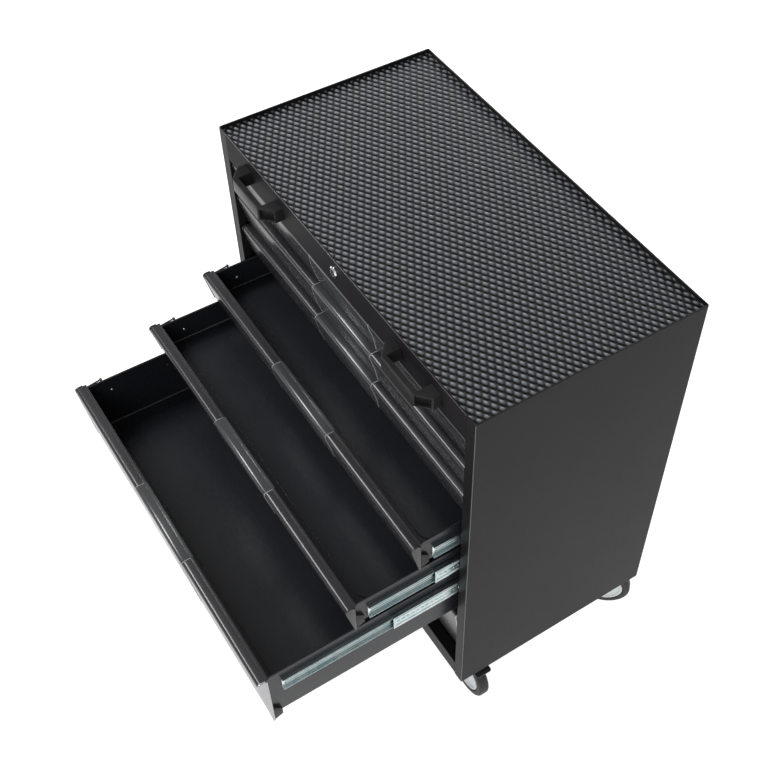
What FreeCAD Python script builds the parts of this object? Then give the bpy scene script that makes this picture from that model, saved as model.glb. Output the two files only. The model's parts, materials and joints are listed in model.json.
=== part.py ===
import FreeCAD, Part
import math
import os
import re
import Sketcher

# Rolling tool cabinet with seven drawers on telescopic runners.
#
# The cabinet frame has X to the right, Y to the back from the plane of the front posts and
# Z up from the floor. The finished pieces are then moved along Y so that the origin lies on
# the floor under the middle of the overall outline.
doc = FreeCAD.newDocument("RollingToolCabinet")
dim = doc.addObject("Spreadsheet::Sheet", "Dim")

SIZES = {
    # Cabinet shell
    "CabinetWidth": 914.0,
    "CabinetDepth": 503.0,
    "PanelHeight": 917.0,
    "CasterHeight": 158.0,
    "SheetSteel": 1.5,
    "PostWidth": 27.0,
    "PostLip": 18.0,
    "BackFlange": 20.0,
    "FootFlange": 20.0,
    "BendRadius": 3.0,
    "TopLip": 8.0,
    "HemWidth": 3.0,
    "MatThickness": 3.5,
    "TopFlange": 22.0,
    "TopRailHeight": 67.0,
    "TopRailReturn": 26.0,
    "BottomRailLow": 3.0,
    "BottomRailHeight": 47.0,
    "BottomRailReturn": 26.0,
    "BaseFlange": 24.0,
    "BackBeadWidth": 60.0,
    "BackBeadDepth": 4.0,
    "BackBeadInset": 60.0,
    # Runner uprights
    "UprightSetback": 72.0,
    "UprightWidth": 34.0,
    "UprightRear": 62.0,
    "UprightFlange": 14.0,
    # Drawer grid, measured down from the top of the side panels
    "FirstDrawerDrop": 72.0,
    "LowestFrontGap": 21.0,
    "FrontGap": 4.0,
    "DoubleFrontGap": 4.0,
    # Drawer openings in the rest pose
    "OpeningFour": 108.0,
    "OpeningFive": 252.0,
    "OpeningSix": 444.0,
    # Wedge fronts
    "FrontEndGap": 5.5,
    "BulgeSetback": 1.0,
    "FrontTopDepth": 23.0,
    "FrontFootDepth": 4.6,
    "NoseRadius": 8.0,
    "FrontWall": 1.4,
    "CapThickness": 3.0,
    "CapNotch": 4.0,
    "TrimWidth": 215.0,
    "TrimHeight": 4.0,
    "TrimRelief": 0.9,
    "TrimSeam": 0.3,
    "BlockGap": 1.0,
    "BlockHeight": 36.0,
    "BlockWidth": 6.5,
    "BlockRise": 6.0,
    # Drawer boxes
    "BoxSteel": 1.2,
    "WallInset": 39.7,
    "WallDrop": 5.0,
    "SingleBoxRise": 13.0,
    "DoubleBoxRise": 22.0,
    "BoxRearGap": 21.0,
    "HemRadius": 2.0,
    "EmbossInset": 34.0,
    "EmbossRise": 1.6,
    "EmbossRadius": 24.0,
    "LatchDrop": 9.0,
    "LatchLength": 38.0,
    "LatchRodRadius": 2.0,
    "LatchKnobRadius": 4.0,
    "LatchKnobLength": 8.0,
    "LatchWallGap": 0.2,
    # Telescopic runners
    "RunnerHeight": 45.0,
    "RunnerSteel": 1.2,
    "RunnerRearGap": 6.0,
    "RunnerSetback": 28.0,
    "RunnerRise": 24.0,
    "MiddleSetback": 20.0,
    "OuterTrackDepth": 10.5,
    "MiddleWebGap": 1.2,
    "MiddleTrackDepth": 8.3,
    "InnerTrackDepth": 7.6,
    "OuterBallRow": 1.5,
    "InnerBallRow": 1.1,
    "BallGap": 0.1,
    "BallRowLength": 190.0,
    "BallRowWidth": 4.0,
    "BallRowInset": 1.6,
    # Handles
    "HandleInset": 180.5,
    "HandleDrop": 25.0,
    "HandleHeight": 31.0,
    "HandleReach": 40.0,
    "HandleBase": 156.0,
    "HandleBar": 102.0,
    "HandleGrip": 96.0,
    "HandleBarDepth": 12.0,
    "HandleFoot": 15.0,
    "HandleRound": 2.4,
    "PocketWall": 3.0,
    "PocketMargin": 2.0,
    "PocketRim": 1.8,
    # Lock
    "LockDrop": 29.0,
    "LockRadius": 9.5,
    "LockFlangeRadius": 12.0,
    "LockProud": 5.0,
    "LockLength": 28.0,
    "LockHoleGap": 0.1,
    "PlugRadius": 7.0,
    "PlugGap": 0.05,
    "KeywayWidth": 1.6,
    "KeywayHeight": 8.0,
    "KeywayDepth": 6.0,
    "CamRadius": 9.0,
    "CamThickness": 3.0,
    "CamPinRadius": 2.0,
    "CamPinOffset": 4.0,
    "CamPinGap": 0.25,
    "LockBarGap": 0.3,
    "LockBarThickness": 2.0,
    "LockBarWidth": 12.0,
    "LockBarInset": 8.0,
    "LockPlateHalf": 13.0,
    "LockStroke": 8.0,
    "FingerReach": 5.0,
    "FingerSetback": 50.0,
    "FingerHeight": 10.0,
    "FingerThickness": 3.0,
    # Casters
    "WheelHeadroom": 33.0,
    "TyreWidth": 30.0,
    "TyreThickness": 18.0,
    "TyreShoulder": 7.0,
    "RimWidth": 26.0,
    "RimLip": 5.0,
    "RimDish": 5.0,
    "HubRadius": 15.0,
    "HubWidth": 31.0,
    "AxleRadius": 5.0,
    "AxleGap": 0.05,
    "CasterTrail": 40.0,
    "CasterInset": 92.0,
    "FrontCasterSetback": 62.0,
    "RearCasterSetback": 62.0,
    "RearCasterTurn": 45.0,
    "CasterPlateLength": 96.0,
    "CasterPlateWidth": 70.0,
    "CasterPlateThickness": 3.0,
    "RaceRadius": 28.0,
    "RaceHeight": 10.0,
    "RunningGap": 0.3,
    "KingpinRadius": 6.0,
    "CrownThickness": 7.0,
    "CrownRadius": 30.0,
    "ForkSteel": 2.5,
    "ForkGap": 0.5,
    "ForkTopHalf": 26.0,
    "ForkEyeRadius": 13.0,
    "BoltRadius": 6.0,
    "BoltHeight": 5.0,
    "BoltInset": 11.0,
    # Brake pedal
    "PedalPinForward": 14.0,
    "PedalPinDrop": 24.0,
    "PedalPinRadius": 2.5,
    "PedalHubRadius": 5.5,
    "PedalWidth": 28.0,
    "PedalLength": 58.0,
    "PedalThickness": 5.0,
    "PedalDrop": 5.0,
    # Set at the end from the finished outline
    "OutlineShift": 0.0,
}
# Sizes that follow from others
FORMULAS = {
    "WheelRadius": "=(CasterHeight - WheelHeadroom) / 2",
    "PedalPinHeight": "=CasterHeight - PedalPinDrop",
}
for row, (alias, value) in enumerate([*SIZES.items(), *FORMULAS.items()], start=1):
    dim.set("A%d" % row, alias)
    dim.set("B%d" % row, str(value))
    dim.setAlias("B%d" % row, alias)
doc.recompute()

WORD = re.compile(r"\b([A-Z][A-Za-z]+[a-z])\b")


def bound(text):
    """Returns an expression in which every size name points into the sheet."""
    def point(match):
        known = match.group(1) in SIZES or match.group(1) in FORMULAS
        return "Dim." + match.group(1) if known else match.group(1)
    return WORD.sub(point, text)


def size(text):
    """Returns the present value of an expression of size names."""
    value = dim.evalExpression(bound(text))
    return float(getattr(value, "Value", value))


def bind(obj, prop, text):
    """Ties one property of an object to an expression of size names."""
    obj.setExpression(prop, bound(text))


def place(obj, x="0", y="0", z="0"):
    """Ties the place of an object to three expressions."""
    bind(obj, "Placement.Base.x", x)
    bind(obj, "Placement.Base.y", y)
    bind(obj, "Placement.Base.z", z)
    return obj


def box(name, x, y, z, length, width, height):
    """A block with its lowest corner at x, y, z."""
    obj = doc.addObject("Part::Box", name)
    bind(obj, "Length", length)
    bind(obj, "Width", width)
    bind(obj, "Height", height)
    return place(obj, x, y, z)


AXES = {
    "X": FreeCAD.Rotation(FreeCAD.Vector(0, 1, 0), 90),
    "Y": FreeCAD.Rotation(FreeCAD.Vector(1, 0, 0), -90),
    "Z": FreeCAD.Rotation(),
}


def rod(name, axis, x, y, z, radius, length):
    """A cylinder that starts at x, y, z and runs along +axis."""
    obj = doc.addObject("Part::Cylinder", name)
    obj.Placement = FreeCAD.Placement(FreeCAD.Vector(), AXES[axis])
    bind(obj, "Radius", radius)
    bind(obj, "Height", length)
    return place(obj, x, y, z)


PLANES = {
    "XY": FreeCAD.Rotation(),
    "XZ": FreeCAD.Rotation(FreeCAD.Vector(1, 0, 0), 90),
    "YZ": FreeCAD.Rotation(FreeCAD.Vector(1, 1, 1), 120),
}
NORMALS = {
    "XY": FreeCAD.Vector(0, 0, 1),
    "XZ": FreeCAD.Vector(0, 1, 0),
    "YZ": FreeCAD.Vector(1, 0, 0),
}


def corner_arc(before, corner, after, radius):
    """Returns the two tangent points and the centre of a round corner."""
    to_before = (before - corner).normalize()
    to_after = (after - corner).normalize()
    half = to_before.getAngle(to_after) / 2
    reach = radius / math.tan(half)
    middle = (to_before + to_after).normalize()
    centre = corner + middle * (radius / math.sin(half))
    return corner + to_before * reach, corner + to_after * reach, centre


def draw(sketch, vertices):
    """Draws one closed outline of lines and round corners with every place bound.

    Each vertex is (u, v) or (u, v, radius), all of them expressions.
    """
    count = len(vertices)
    points = [FreeCAD.Vector(size(v[0]), size(v[1]), 0) for v in vertices]
    starts = []
    ends = []
    centres = []
    for i, vertex in enumerate(vertices):
        if len(vertex) == 3:
            first, last, centre = corner_arc(points[i - 1], points[i],
                                             points[(i + 1) % count], size(vertex[2]))
        else:
            first, last, centre = points[i], points[i], None
        ends.append(first)
        starts.append(last)
        centres.append(centre)
    lines = [
        sketch.addGeometry(Part.LineSegment(starts[i], ends[(i + 1) % count]), False)
        for i in range(count)
    ]
    for i, vertex in enumerate(vertices):
        incoming, outgoing = lines[i - 1], lines[i]
        if centres[i] is None:
            sketch.addConstraint(Sketcher.Constraint("Coincident", incoming, 2, outgoing, 1))
            anchor = (outgoing, 1)
        else:
            radius = size(vertex[2])
            circle = Part.Circle(centres[i], FreeCAD.Vector(0, 0, 1), radius)
            from_angle = math.atan2(ends[i].y - centres[i].y, ends[i].x - centres[i].x)
            to_angle = math.atan2(starts[i].y - centres[i].y, starts[i].x - centres[i].x)
            turn = (to_angle - from_angle) % (2 * math.pi)
            if turn < math.pi:
                arc = sketch.addGeometry(Part.ArcOfCircle(circle, from_angle, to_angle), False)
            else:
                arc = sketch.addGeometry(Part.ArcOfCircle(circle, to_angle, from_angle), False)
            swapped = turn >= math.pi
            sketch.addConstraint(
                Sketcher.Constraint("Tangent", incoming, 2, arc, 2 if swapped else 1))
            sketch.addConstraint(
                Sketcher.Constraint("Tangent", arc, 1 if swapped else 2, outgoing, 1))
            index = sketch.addConstraint(Sketcher.Constraint("Radius", arc, radius))
            bind(sketch, "Constraints[%d]" % index, vertex[2])
            point = sketch.addGeometry(Part.Point(points[i]), True)
            sketch.addConstraint(Sketcher.Constraint("PointOnObject", point, 1, incoming))
            sketch.addConstraint(Sketcher.Constraint("PointOnObject", point, 1, outgoing))
            anchor = (point, 1)
        for kind, value, text in (("DistanceX", points[i].x, vertex[0]),
                                  ("DistanceY", points[i].y, vertex[1])):
            index = sketch.addConstraint(
                Sketcher.Constraint(kind, -1, 1, anchor[0], anchor[1], value))
            bind(sketch, "Constraints[%d]" % index, text)


def outline(name, plane, *loops):
    """A sketch on a main plane that holds one outer loop and any inner ones."""
    sketch = doc.addObject("Sketcher::SketchObject", name + "_sketch")
    sketch.Placement = FreeCAD.Placement(FreeCAD.Vector(), PLANES[plane])
    for loop in loops:
        draw(sketch, loop)
    return sketch


def prism(name, plane, start, length, *loops):
    """Extrudes an outline along the plane's axis from start over length."""
    sketch = outline(name, plane, *loops)
    along = {"XY": "z", "XZ": "y", "YZ": "x"}[plane]
    bind(sketch, "Placement.Base." + along, start)
    obj = doc.addObject("Part::Extrusion", name)
    obj.Base = sketch
    obj.DirMode = "Custom"
    obj.Dir = NORMALS[plane]
    obj.Solid = True
    bind(obj, "LengthFwd", length)
    return obj


def spun(name, plane, axis, loop, x="0", y="0", z="0"):
    """Turns an outline once round the plane's own u or v axis."""
    sketch = outline(name, plane, loop)
    obj = doc.addObject("Part::Revolution", name)
    obj.Source = sketch
    obj.Axis = axis
    obj.Base = FreeCAD.Vector()
    obj.Angle = 360
    obj.Solid = True
    return place(obj, x, y, z)


def fused(name, *objects):
    """One solid from several."""
    obj = doc.addObject("Part::MultiFuse", name)
    obj.Shapes = list(objects)
    obj.Refine = True
    return obj


def cut(name, base, *tools):
    """Removes tools from a base."""
    obj = doc.addObject("Part::Cut", name)
    obj.Base = base
    obj.Tool = tools[0] if len(tools) == 1 else fused(name + "_tools", *tools)
    obj.Refine = True
    return obj


def mirrored(name, source, normal=(1, 0, 0)):
    """The mirror image of an object across the middle plane."""
    obj = doc.addObject("Part::Mirroring", name)
    obj.Source = source
    obj.Base = FreeCAD.Vector()
    obj.Normal = FreeCAD.Vector(*normal)
    return obj


def group(name, *objects):
    """Several solids that are one piece of work."""
    obj = doc.addObject("Part::Compound", name)
    obj.Links = list(objects)
    return obj


NODES = []


def node(label, source, x="0", y="0", z="0", turn="0"):
    """Makes the finished sub-part with its own label and place in the cabinet frame."""
    obj = group("Node_" + label, source)
    obj.Label = label
    obj.Placement = FreeCAD.Placement(FreeCAD.Vector(),
                                      FreeCAD.Rotation(FreeCAD.Vector(0, 0, 1), 1))
    bind(obj, "Placement.Rotation.Angle", turn)
    place(obj, x, "OutlineShift + " + y, z)
    NODES.append(obj)
    return obj


# Places that several pieces share
HALF = "CabinetWidth / 2"
TOP = "(CasterHeight + PanelHeight)"
FLOOR = "(CasterHeight + SheetSteel)"
INNER_WALL = "(CabinetWidth / 2 - SheetSteel)"
POST_LINE = "(CabinetWidth / 2 - PostWidth)"
BOX_HALF = "(CabinetWidth / 2 - WallInset)"
BACK_INNER = "(CabinetDepth - 2 * SheetSteel)"
FRONT_BACK = "(BulgeSetback + FrontTopDepth)"
FRONT_HALF = "(CabinetWidth / 2 - PostWidth - FrontEndGap)"
MAT_LEVEL = "(CasterHeight + PanelHeight - TopLip)"
TOP_PLATE = "(CasterHeight + PanelHeight - TopLip - MatThickness - SheetSteel)"
BOX_LENGTH = "(CabinetDepth - BoxRearGap - %s)" % FRONT_BACK
GRID = "PanelHeight - FirstDrawerDrop - LowestFrontGap - BottomRailHeight - BottomRailLow"
PITCH = "((%s) / 9)" % GRID
SINGLE_BOTTOM = "(%s - SingleBoxRise)" % PITCH
DOUBLE_BOTTOM = "(2 * %s - DoubleBoxRise)" % PITCH
RUNNER_DROP = "(%s - SingleBoxRise - RunnerRise)" % PITCH


def side_panel():
    """Right side panel: wall, front post with its lip, rear flange and foot flange."""
    section = prism(
        "side_section", "XY", "CasterHeight", "PanelHeight",
        [
            (HALF, "0", "BendRadius"),
            (HALF, "CabinetDepth", "BendRadius"),
            (HALF + " - BackFlange", "CabinetDepth"),
            (HALF + " - BackFlange", "CabinetDepth - SheetSteel"),
            (INNER_WALL, "CabinetDepth - SheetSteel", "BendRadius - SheetSteel"),
            (INNER_WALL, "SheetSteel", "BendRadius - SheetSteel"),
            (POST_LINE + " + SheetSteel", "SheetSteel"),
            (POST_LINE + " + SheetSteel", "PostLip"),
            (POST_LINE, "PostLip"),
            (POST_LINE, "0", "SheetSteel"),
        ])
    foot = box("side_foot", INNER_WALL + " - FootFlange", "PostLip + SheetSteel", "CasterHeight",
               "FootFlange + SheetSteel / 2", "CabinetDepth - PostLip - 3 * SheetSteel",
               "SheetSteel")
    hem = box("side_hem", HALF + " - HemWidth", "HemWidth", TOP + " - TopLip",
              "HemWidth - SheetSteel / 2", "CabinetDepth - 2 * HemWidth", "TopLip")
    relief = box("side_lip_relief", POST_LINE + " - SheetSteel", "SheetSteel",
                 TOP_PLATE + " + SheetSteel - TopFlange",
                 "PostWidth - SheetSteel / 2", "PostLip + SheetSteel", "PanelHeight")
    return fused("side_panel", cut("side_relieved", section, relief), foot, hem)


def cabinet_shell():
    """The fixed folded sheets, the mat and the runner uprights."""
    right = side_panel()
    node("right_side_panel", right)
    node("left_side_panel", mirrored("side_panel_mirror", right))

    span = "2 * (CabinetWidth / 2 - SheetSteel)"
    clear = "(CabinetWidth / 2 - BendRadius)"
    clear_span = "2 * (CabinetWidth / 2 - BendRadius)"
    plate = box("back_plate", "-" + clear, "CabinetDepth - 2 * SheetSteel", FLOOR, clear_span,
                "SheetSteel", "PanelHeight - SheetSteel - TopLip")
    lip = box("back_hem", "-" + HALF + " + BackFlange", "CabinetDepth - HemWidth",
              TOP + " - TopLip - SheetSteel",
              "CabinetWidth - 2 * BackFlange", "HemWidth", "TopLip + SheetSteel")
    bead_low = "CasterHeight + BackBeadInset"
    outer_bead = prism(
        "back_bead", "XZ", "CabinetDepth - SheetSteel - BackBeadDepth", "BackBeadDepth",
        [
            ("-" + HALF + " + BackBeadInset", bead_low, "EmbossRadius"),
            (HALF + " - BackBeadInset", bead_low, "EmbossRadius"),
            (HALF + " - BackBeadInset", TOP + " - BackBeadInset", "EmbossRadius"),
            ("-" + HALF + " + BackBeadInset", TOP + " - BackBeadInset", "EmbossRadius"),
        ])
    hollow_bead = prism(
        "back_bead_hollow", "XZ", "CabinetDepth - BackBeadDepth", "BackBeadDepth",
        [
            ("-" + HALF + " + BackBeadInset + SheetSteel", bead_low + " + SheetSteel",
             "EmbossRadius - SheetSteel"),
            (HALF + " - BackBeadInset - SheetSteel", bead_low + " + SheetSteel",
             "EmbossRadius - SheetSteel"),
            (HALF + " - BackBeadInset - SheetSteel", TOP + " - BackBeadInset - SheetSteel",
             "EmbossRadius - SheetSteel"),
            ("-" + HALF + " + BackBeadInset + SheetSteel", TOP + " - BackBeadInset - SheetSteel",
             "EmbossRadius - SheetSteel"),
        ])
    node("back_panel", cut("back_sheet", fused("back_solid", plate, lip, outer_bead),
                           hollow_bead))

    base = box("base_block", "-" + INNER_WALL, "BottomRailReturn + SheetSteel", FLOOR, span,
               BACK_INNER + " - BottomRailReturn - SheetSteel", "BaseFlange")
    hollow = box("base_hollow", "-" + INNER_WALL + " + SheetSteel",
                 "BottomRailReturn + 2 * SheetSteel", FLOOR + " + SheetSteel",
                 span + " - 2 * SheetSteel", BACK_INNER + " - BottomRailReturn - 3 * SheetSteel",
                 "BaseFlange")
    node("base_panel", cut("base_pan", base, hollow))

    tray = box("top_block", "-" + clear, "SheetSteel", TOP_PLATE + " + SheetSteel - TopFlange",
               clear_span, BACK_INNER + " - SheetSteel", "TopFlange")
    under = box("top_hollow", "-" + clear + " + SheetSteel", "2 * SheetSteel",
                TOP_PLATE + " - TopFlange", clear_span + " - 2 * SheetSteel",
                BACK_INNER + " - 3 * SheetSteel", "TopFlange")
    bore = rod("tray_lock_hole", "Y", "0", "-LockProud", TOP + " - LockDrop",
               "LockRadius + LockHoleGap", "LockLength")
    node("top_panel", cut("top_pan", tray, under, bore))
    mat = prism(
        "mat", "XY", MAT_LEVEL + " - MatThickness", "MatThickness",
        [
            ("-" + HALF + " + HemWidth", "HemWidth", "BendRadius"),
            (HALF + " - HemWidth", "HemWidth", "BendRadius"),
            (HALF + " - HemWidth", "CabinetDepth - HemWidth", "BendRadius"),
            ("-" + HALF + " + HemWidth", "CabinetDepth - HemWidth", "BendRadius"),
        ])
    node("top_mat", mat)


def rails():
    """The front rails between the posts, folded back along both edges."""
    low = TOP + " - TopRailHeight"
    top_rail = prism(
        "top_rail_section", "YZ", "-" + POST_LINE, "2 * " + POST_LINE,
        [
            ("0", low, "SheetSteel"),
            ("TopRailReturn", low),
            ("TopRailReturn", low + " + SheetSteel"),
            ("SheetSteel", low + " + SheetSteel"),
            ("SheetSteel", TOP + " - TopLip"),
            ("HemWidth", TOP + " - TopLip"),
            ("HemWidth", TOP, "HemWidth / 4"),
            ("0", TOP, "HemWidth / 4"),
        ])
    bore = rod("lock_hole", "Y", "0", "-LockProud", TOP + " - LockDrop",
               "LockRadius + LockHoleGap", "LockLength")
    node("top_rail", cut("top_rail_drilled", top_rail, bore))

    low = "CasterHeight + BottomRailLow"
    high = low + " + BottomRailHeight"
    bottom_rail = prism(
        "bottom_rail_section", "YZ", "-" + POST_LINE, "2 * " + POST_LINE,
        [
            ("0", low, "SheetSteel"),
            ("BottomRailReturn", low),
            ("BottomRailReturn", low + " + SheetSteel"),
            ("SheetSteel", low + " + SheetSteel"),
            ("SheetSteel", high + " - SheetSteel"),
            ("BottomRailReturn", high + " - SheetSteel"),
            ("BottomRailReturn", high),
            ("0", high, "SheetSteel"),
        ])
    node("bottom_rail", bottom_rail)


def upright(name, start):
    """One channel on the right side that carries the cabinet members of the runners."""
    rear = start + " + UprightWidth"
    return prism(
        name, "XY", FLOOR + " + BaseFlange",
        "PanelHeight - BaseFlange - SheetSteel - TopLip - MatThickness - TopFlange",
        [
            (POST_LINE, start, "SheetSteel"),
            (INNER_WALL, start),
            (INNER_WALL, start + " + SheetSteel"),
            (POST_LINE + " + SheetSteel", start + " + SheetSteel"),
            (POST_LINE + " + SheetSteel", rear + " - SheetSteel"),
            (INNER_WALL, rear + " - SheetSteel"),
            (INNER_WALL, rear),
            (POST_LINE, rear, "SheetSteel"),
        ])


def channel(name, web_x, web_side, depth, half, start, length):
    """One runner member: a web at web_x with two tracks of that depth towards the drawer.

    web_side is the sign of the direction in which the tracks point along X.
    """
    if web_side < 0:
        outer, inner, tip = web_x, web_x + " - RunnerSteel", web_x + " - " + depth
    else:
        outer, inner, tip = web_x, web_x + " + RunnerSteel", web_x + " + " + depth
    loop = [
        (outer, "-(%s)" % half),
        (tip, "-(%s)" % half),
        (tip, "-(%s) + RunnerSteel" % half),
        (inner, "-(%s) + RunnerSteel" % half),
        (inner, "%s - RunnerSteel" % half),
        (tip, "%s - RunnerSteel" % half),
        (tip, half),
        (outer, half),
    ]
    return prism(name, "XZ", start, length, loop)


OUTER_HALF = "RunnerHeight / 2"
MIDDLE_HALF = "(RunnerHeight / 2 - RunnerSteel - OuterBallRow)"
INNER_HALF = "(RunnerHeight / 2 - 2 * RunnerSteel - OuterBallRow - InnerBallRow)"
RUNNER_START = "(BulgeSetback + FrontTopDepth + RunnerSetback)"
RUNNER_END = "(CabinetDepth - RunnerRearGap)"
RUNNER_LENGTH = "(%s - %s)" % (RUNNER_END, RUNNER_START)
MIDDLE_WEB = "(CabinetWidth / 2 - PostWidth - RunnerSteel - MiddleWebGap)"


def ball_rows(name, x, half, row):
    """The two rows of balls in their cage along the rear of a member, as plain strips."""
    start = RUNNER_END + " - BallRowLength"
    upper = box(name + "_upper", x, start, half, "BallRowWidth", "BallRowLength",
                row + " - BallGap")
    lower = box(name + "_lower", x, start, "-(%s) - %s + BallGap" % (half, row),
                "BallRowWidth", "BallRowLength", row + " - BallGap")
    return upper, lower


def runners():
    """The three members of one pair of runners, with Z measured from the runner's middle."""
    outer = channel("outer_member", POST_LINE, -1, "OuterTrackDepth", OUTER_HALF,
                    RUNNER_START, RUNNER_LENGTH)
    middle = channel("middle_member", MIDDLE_WEB, -1, "MiddleTrackDepth", MIDDLE_HALF,
                     RUNNER_START + " + MiddleSetback", RUNNER_LENGTH + " - MiddleSetback")
    inner = channel("inner_member", BOX_HALF, 1, "InnerTrackDepth", INNER_HALF,
                    RUNNER_START, RUNNER_LENGTH)
    middle_rows = ball_rows("middle_balls", MIDDLE_WEB + " - BallRowInset - BallRowWidth",
                            MIDDLE_HALF, "OuterBallRow")
    inner_rows = ball_rows("inner_balls", BOX_HALF + " + BallRowInset + RunnerSteel",
                           INNER_HALF, "InnerBallRow")
    pairs = {}
    for kind, pieces in (("outer", (outer,)), ("middle", (middle,) + middle_rows),
                         ("inner", (inner,) + inner_rows)):
        mirrors = [mirrored(piece.Name + "_left", piece) for piece in pieces]
        pairs[kind] = group(kind + "_pair", *(list(pieces) + mirrors))
    return pairs


def slope_at(drop, height):
    """Y of the sloping front face at a depth below its top."""
    run = "(FrontTopDepth - FrontFootDepth)"
    return "BulgeSetback + %s * %s / %s" % (run, drop, height)


def front(name, height):
    """One wedge front with its trim, end caps, corner blocks and latch rod.

    Z is measured from the top of the front and Y from the plane of the posts.
    """
    back = FRONT_BACK
    nose = "BulgeSetback"
    foot = FRONT_BACK + " - FrontFootDepth"
    low = "-(%s)" % height
    end = FRONT_HALF + " - CapThickness"
    skin = prism(
        name + "_skin", "YZ", "-(%s)" % end, "2 * (%s)" % end,
        [
            (back, "0"),
            (nose, "0", "NoseRadius"),
            (foot, low),
            (back, low),
        ],
        [
            (back + " - FrontWall", "-FrontWall"),
            (nose + " + 1.4 * FrontWall", "-FrontWall", "NoseRadius - FrontWall"),
            (foot + " + FrontWall", low + " + FrontWall"),
            (back + " - FrontWall", low + " + FrontWall"),
        ])
    upper = "(NoseRadius + TrimHeight)"
    lower = "(%s - TrimHeight)" % height
    trim_bed = prism(
        name + "_trim_bed", "YZ", "-TrimWidth / 2", "TrimWidth",
        [
            (slope_at(upper, height) + " - TrimHeight", "-" + upper),
            (slope_at(upper, height) + " + TrimRelief", "-" + upper),
            (slope_at(lower, height) + " + TrimRelief", "-" + lower),
            (slope_at(lower, height) + " - TrimHeight", "-" + lower),
        ])
    trim = prism(
        name + "_trim", "YZ", "-TrimWidth / 2 + TrimSeam", "TrimWidth - 2 * TrimSeam",
        [
            (slope_at(upper, height) + " + TrimSeam", "-" + upper),
            (slope_at(upper, height) + " + TrimRelief", "-" + upper),
            (slope_at(lower, height) + " + TrimRelief", "-" + lower),
            (slope_at(lower, height) + " + TrimSeam", "-" + lower),
        ])
    cap = prism(
        name + "_cap", "YZ", end, "CapThickness",
        [
            (back + " - CapNotch", "0"),
            (nose, "0", "NoseRadius"),
            (foot, low),
            (back, low),
            (back, "-CapNotch"),
            (back + " - CapNotch", "-CapNotch"),
        ])
    block = prism(
        name + "_block", "YZ", BOX_HALF, "BlockWidth",
        [
            (back, low + " + BlockRise"),
            (back + " + RunnerSetback - BlockGap", low + " + BlockRise + BlockHeight / 3"),
            (back + " + RunnerSetback - BlockGap", low + " + BlockRise + BlockHeight"),
            (back, low + " + BlockRise + BlockHeight"),
        ])
    latch_x = "-%s - LatchWallGap - LatchKnobRadius" % BOX_HALF
    latch = rod(name + "_latch", "Y", latch_x, back, "-LatchDrop", "LatchRodRadius",
                "LatchLength - LatchKnobLength / 2")
    knob = spun(
        name + "_knob", "XY", FreeCAD.Vector(0, 1, 0),
        [
            ("0", "LatchLength - LatchKnobLength / 2"),
            ("LatchKnobRadius", "LatchLength - LatchKnobLength / 2", "LatchRodRadius / 2"),
            ("LatchKnobRadius", "LatchLength + LatchKnobLength / 2", "LatchRodRadius"),
            ("0", "LatchLength + LatchKnobLength / 2"),
        ], latch_x, back, "-LatchDrop")
    return [
        cut(name + "_shell", skin, trim_bed), trim,
        cap, mirrored(name + "_cap_left", cap),
        block, mirrored(name + "_block_left", block), latch, knob,
    ]


def drawer_box(name, bottom):
    """One folded drawer box with rolled wall tops and a pressed floor."""
    y0 = FRONT_BACK
    outer = box(name + "_outer", "-" + BOX_HALF, y0, "-" + bottom, "2 * " + BOX_HALF, BOX_LENGTH,
                bottom + " - WallDrop")
    inner = box(name + "_inner", "-%s + BoxSteel" % BOX_HALF, y0 + " + BoxSteel",
                "-%s + BoxSteel" % bottom, "2 * %s - 2 * BoxSteel" % BOX_HALF,
                BOX_LENGTH + " - 2 * BoxSteel", bottom)
    side_hem = rod(name + "_hem", "Y", BOX_HALF + " - HemRadius", y0,
                   "-WallDrop - HemRadius", "HemRadius", BOX_LENGTH)
    rear_hem = rod(name + "_rear_hem", "X", "-" + BOX_HALF, y0 + " + " + BOX_LENGTH + " - HemRadius",
                   "-WallDrop - HemRadius", "HemRadius", "2 * " + BOX_HALF)
    half = BOX_HALF + " - EmbossInset"
    near = y0 + " + EmbossInset"
    far = y0 + " + " + BOX_LENGTH + " - EmbossInset"
    raised = prism(
        name + "_raised", "XY", "-%s + BoxSteel / 2" % bottom, "BoxSteel / 2 + EmbossRise",
        [
            ("-(%s)" % half, near, "EmbossRadius"),
            (half, near, "EmbossRadius"),
            (half, far, "EmbossRadius"),
            ("-(%s)" % half, far, "EmbossRadius"),
        ])
    pressed = prism(
        name + "_pressed", "XY", "-%s - BoxSteel" % bottom, "BoxSteel + EmbossRise",
        [
            ("-(%s) + BoxSteel" % half, near + " + BoxSteel", "EmbossRadius - BoxSteel"),
            (half + " - BoxSteel", near + " + BoxSteel", "EmbossRadius - BoxSteel"),
            (half + " - BoxSteel", far + " - BoxSteel", "EmbossRadius - BoxSteel"),
            ("-(%s) + BoxSteel" % half, far + " - BoxSteel", "EmbossRadius - BoxSteel"),
        ])
    walls = cut(name + "_walls", outer, inner)
    whole = fused(name + "_whole", walls, side_hem, mirrored(name + "_hem_left", side_hem),
                  rear_hem, raised)
    return cut(name, whole, pressed)


SINGLE = "(%s - FrontGap)" % PITCH
DOUBLE = "(2 * %s - DoubleFrontGap)" % PITCH
# Each drawer: name, rows above it, front height, box, opening in the rest pose
DRAWERS = [
    ("drawer_1", 0, "single", "0"),
    ("drawer_2", 1, "single", "0"),
    ("drawer_3", 2, "single", "0"),
    ("drawer_4", 3, "single", "OpeningFour"),
    ("drawer_5", 4, "single", "OpeningFive"),
    ("drawer_6", 5, "double", "OpeningSix"),
    ("drawer_7", 7, "double", "0"),
]


def drawer_top(rows):
    """Height above the floor of the top of a drawer's front."""
    return "CasterHeight + PanelHeight - FirstDrawerDrop - %d * %s" % (rows, PITCH)


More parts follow.
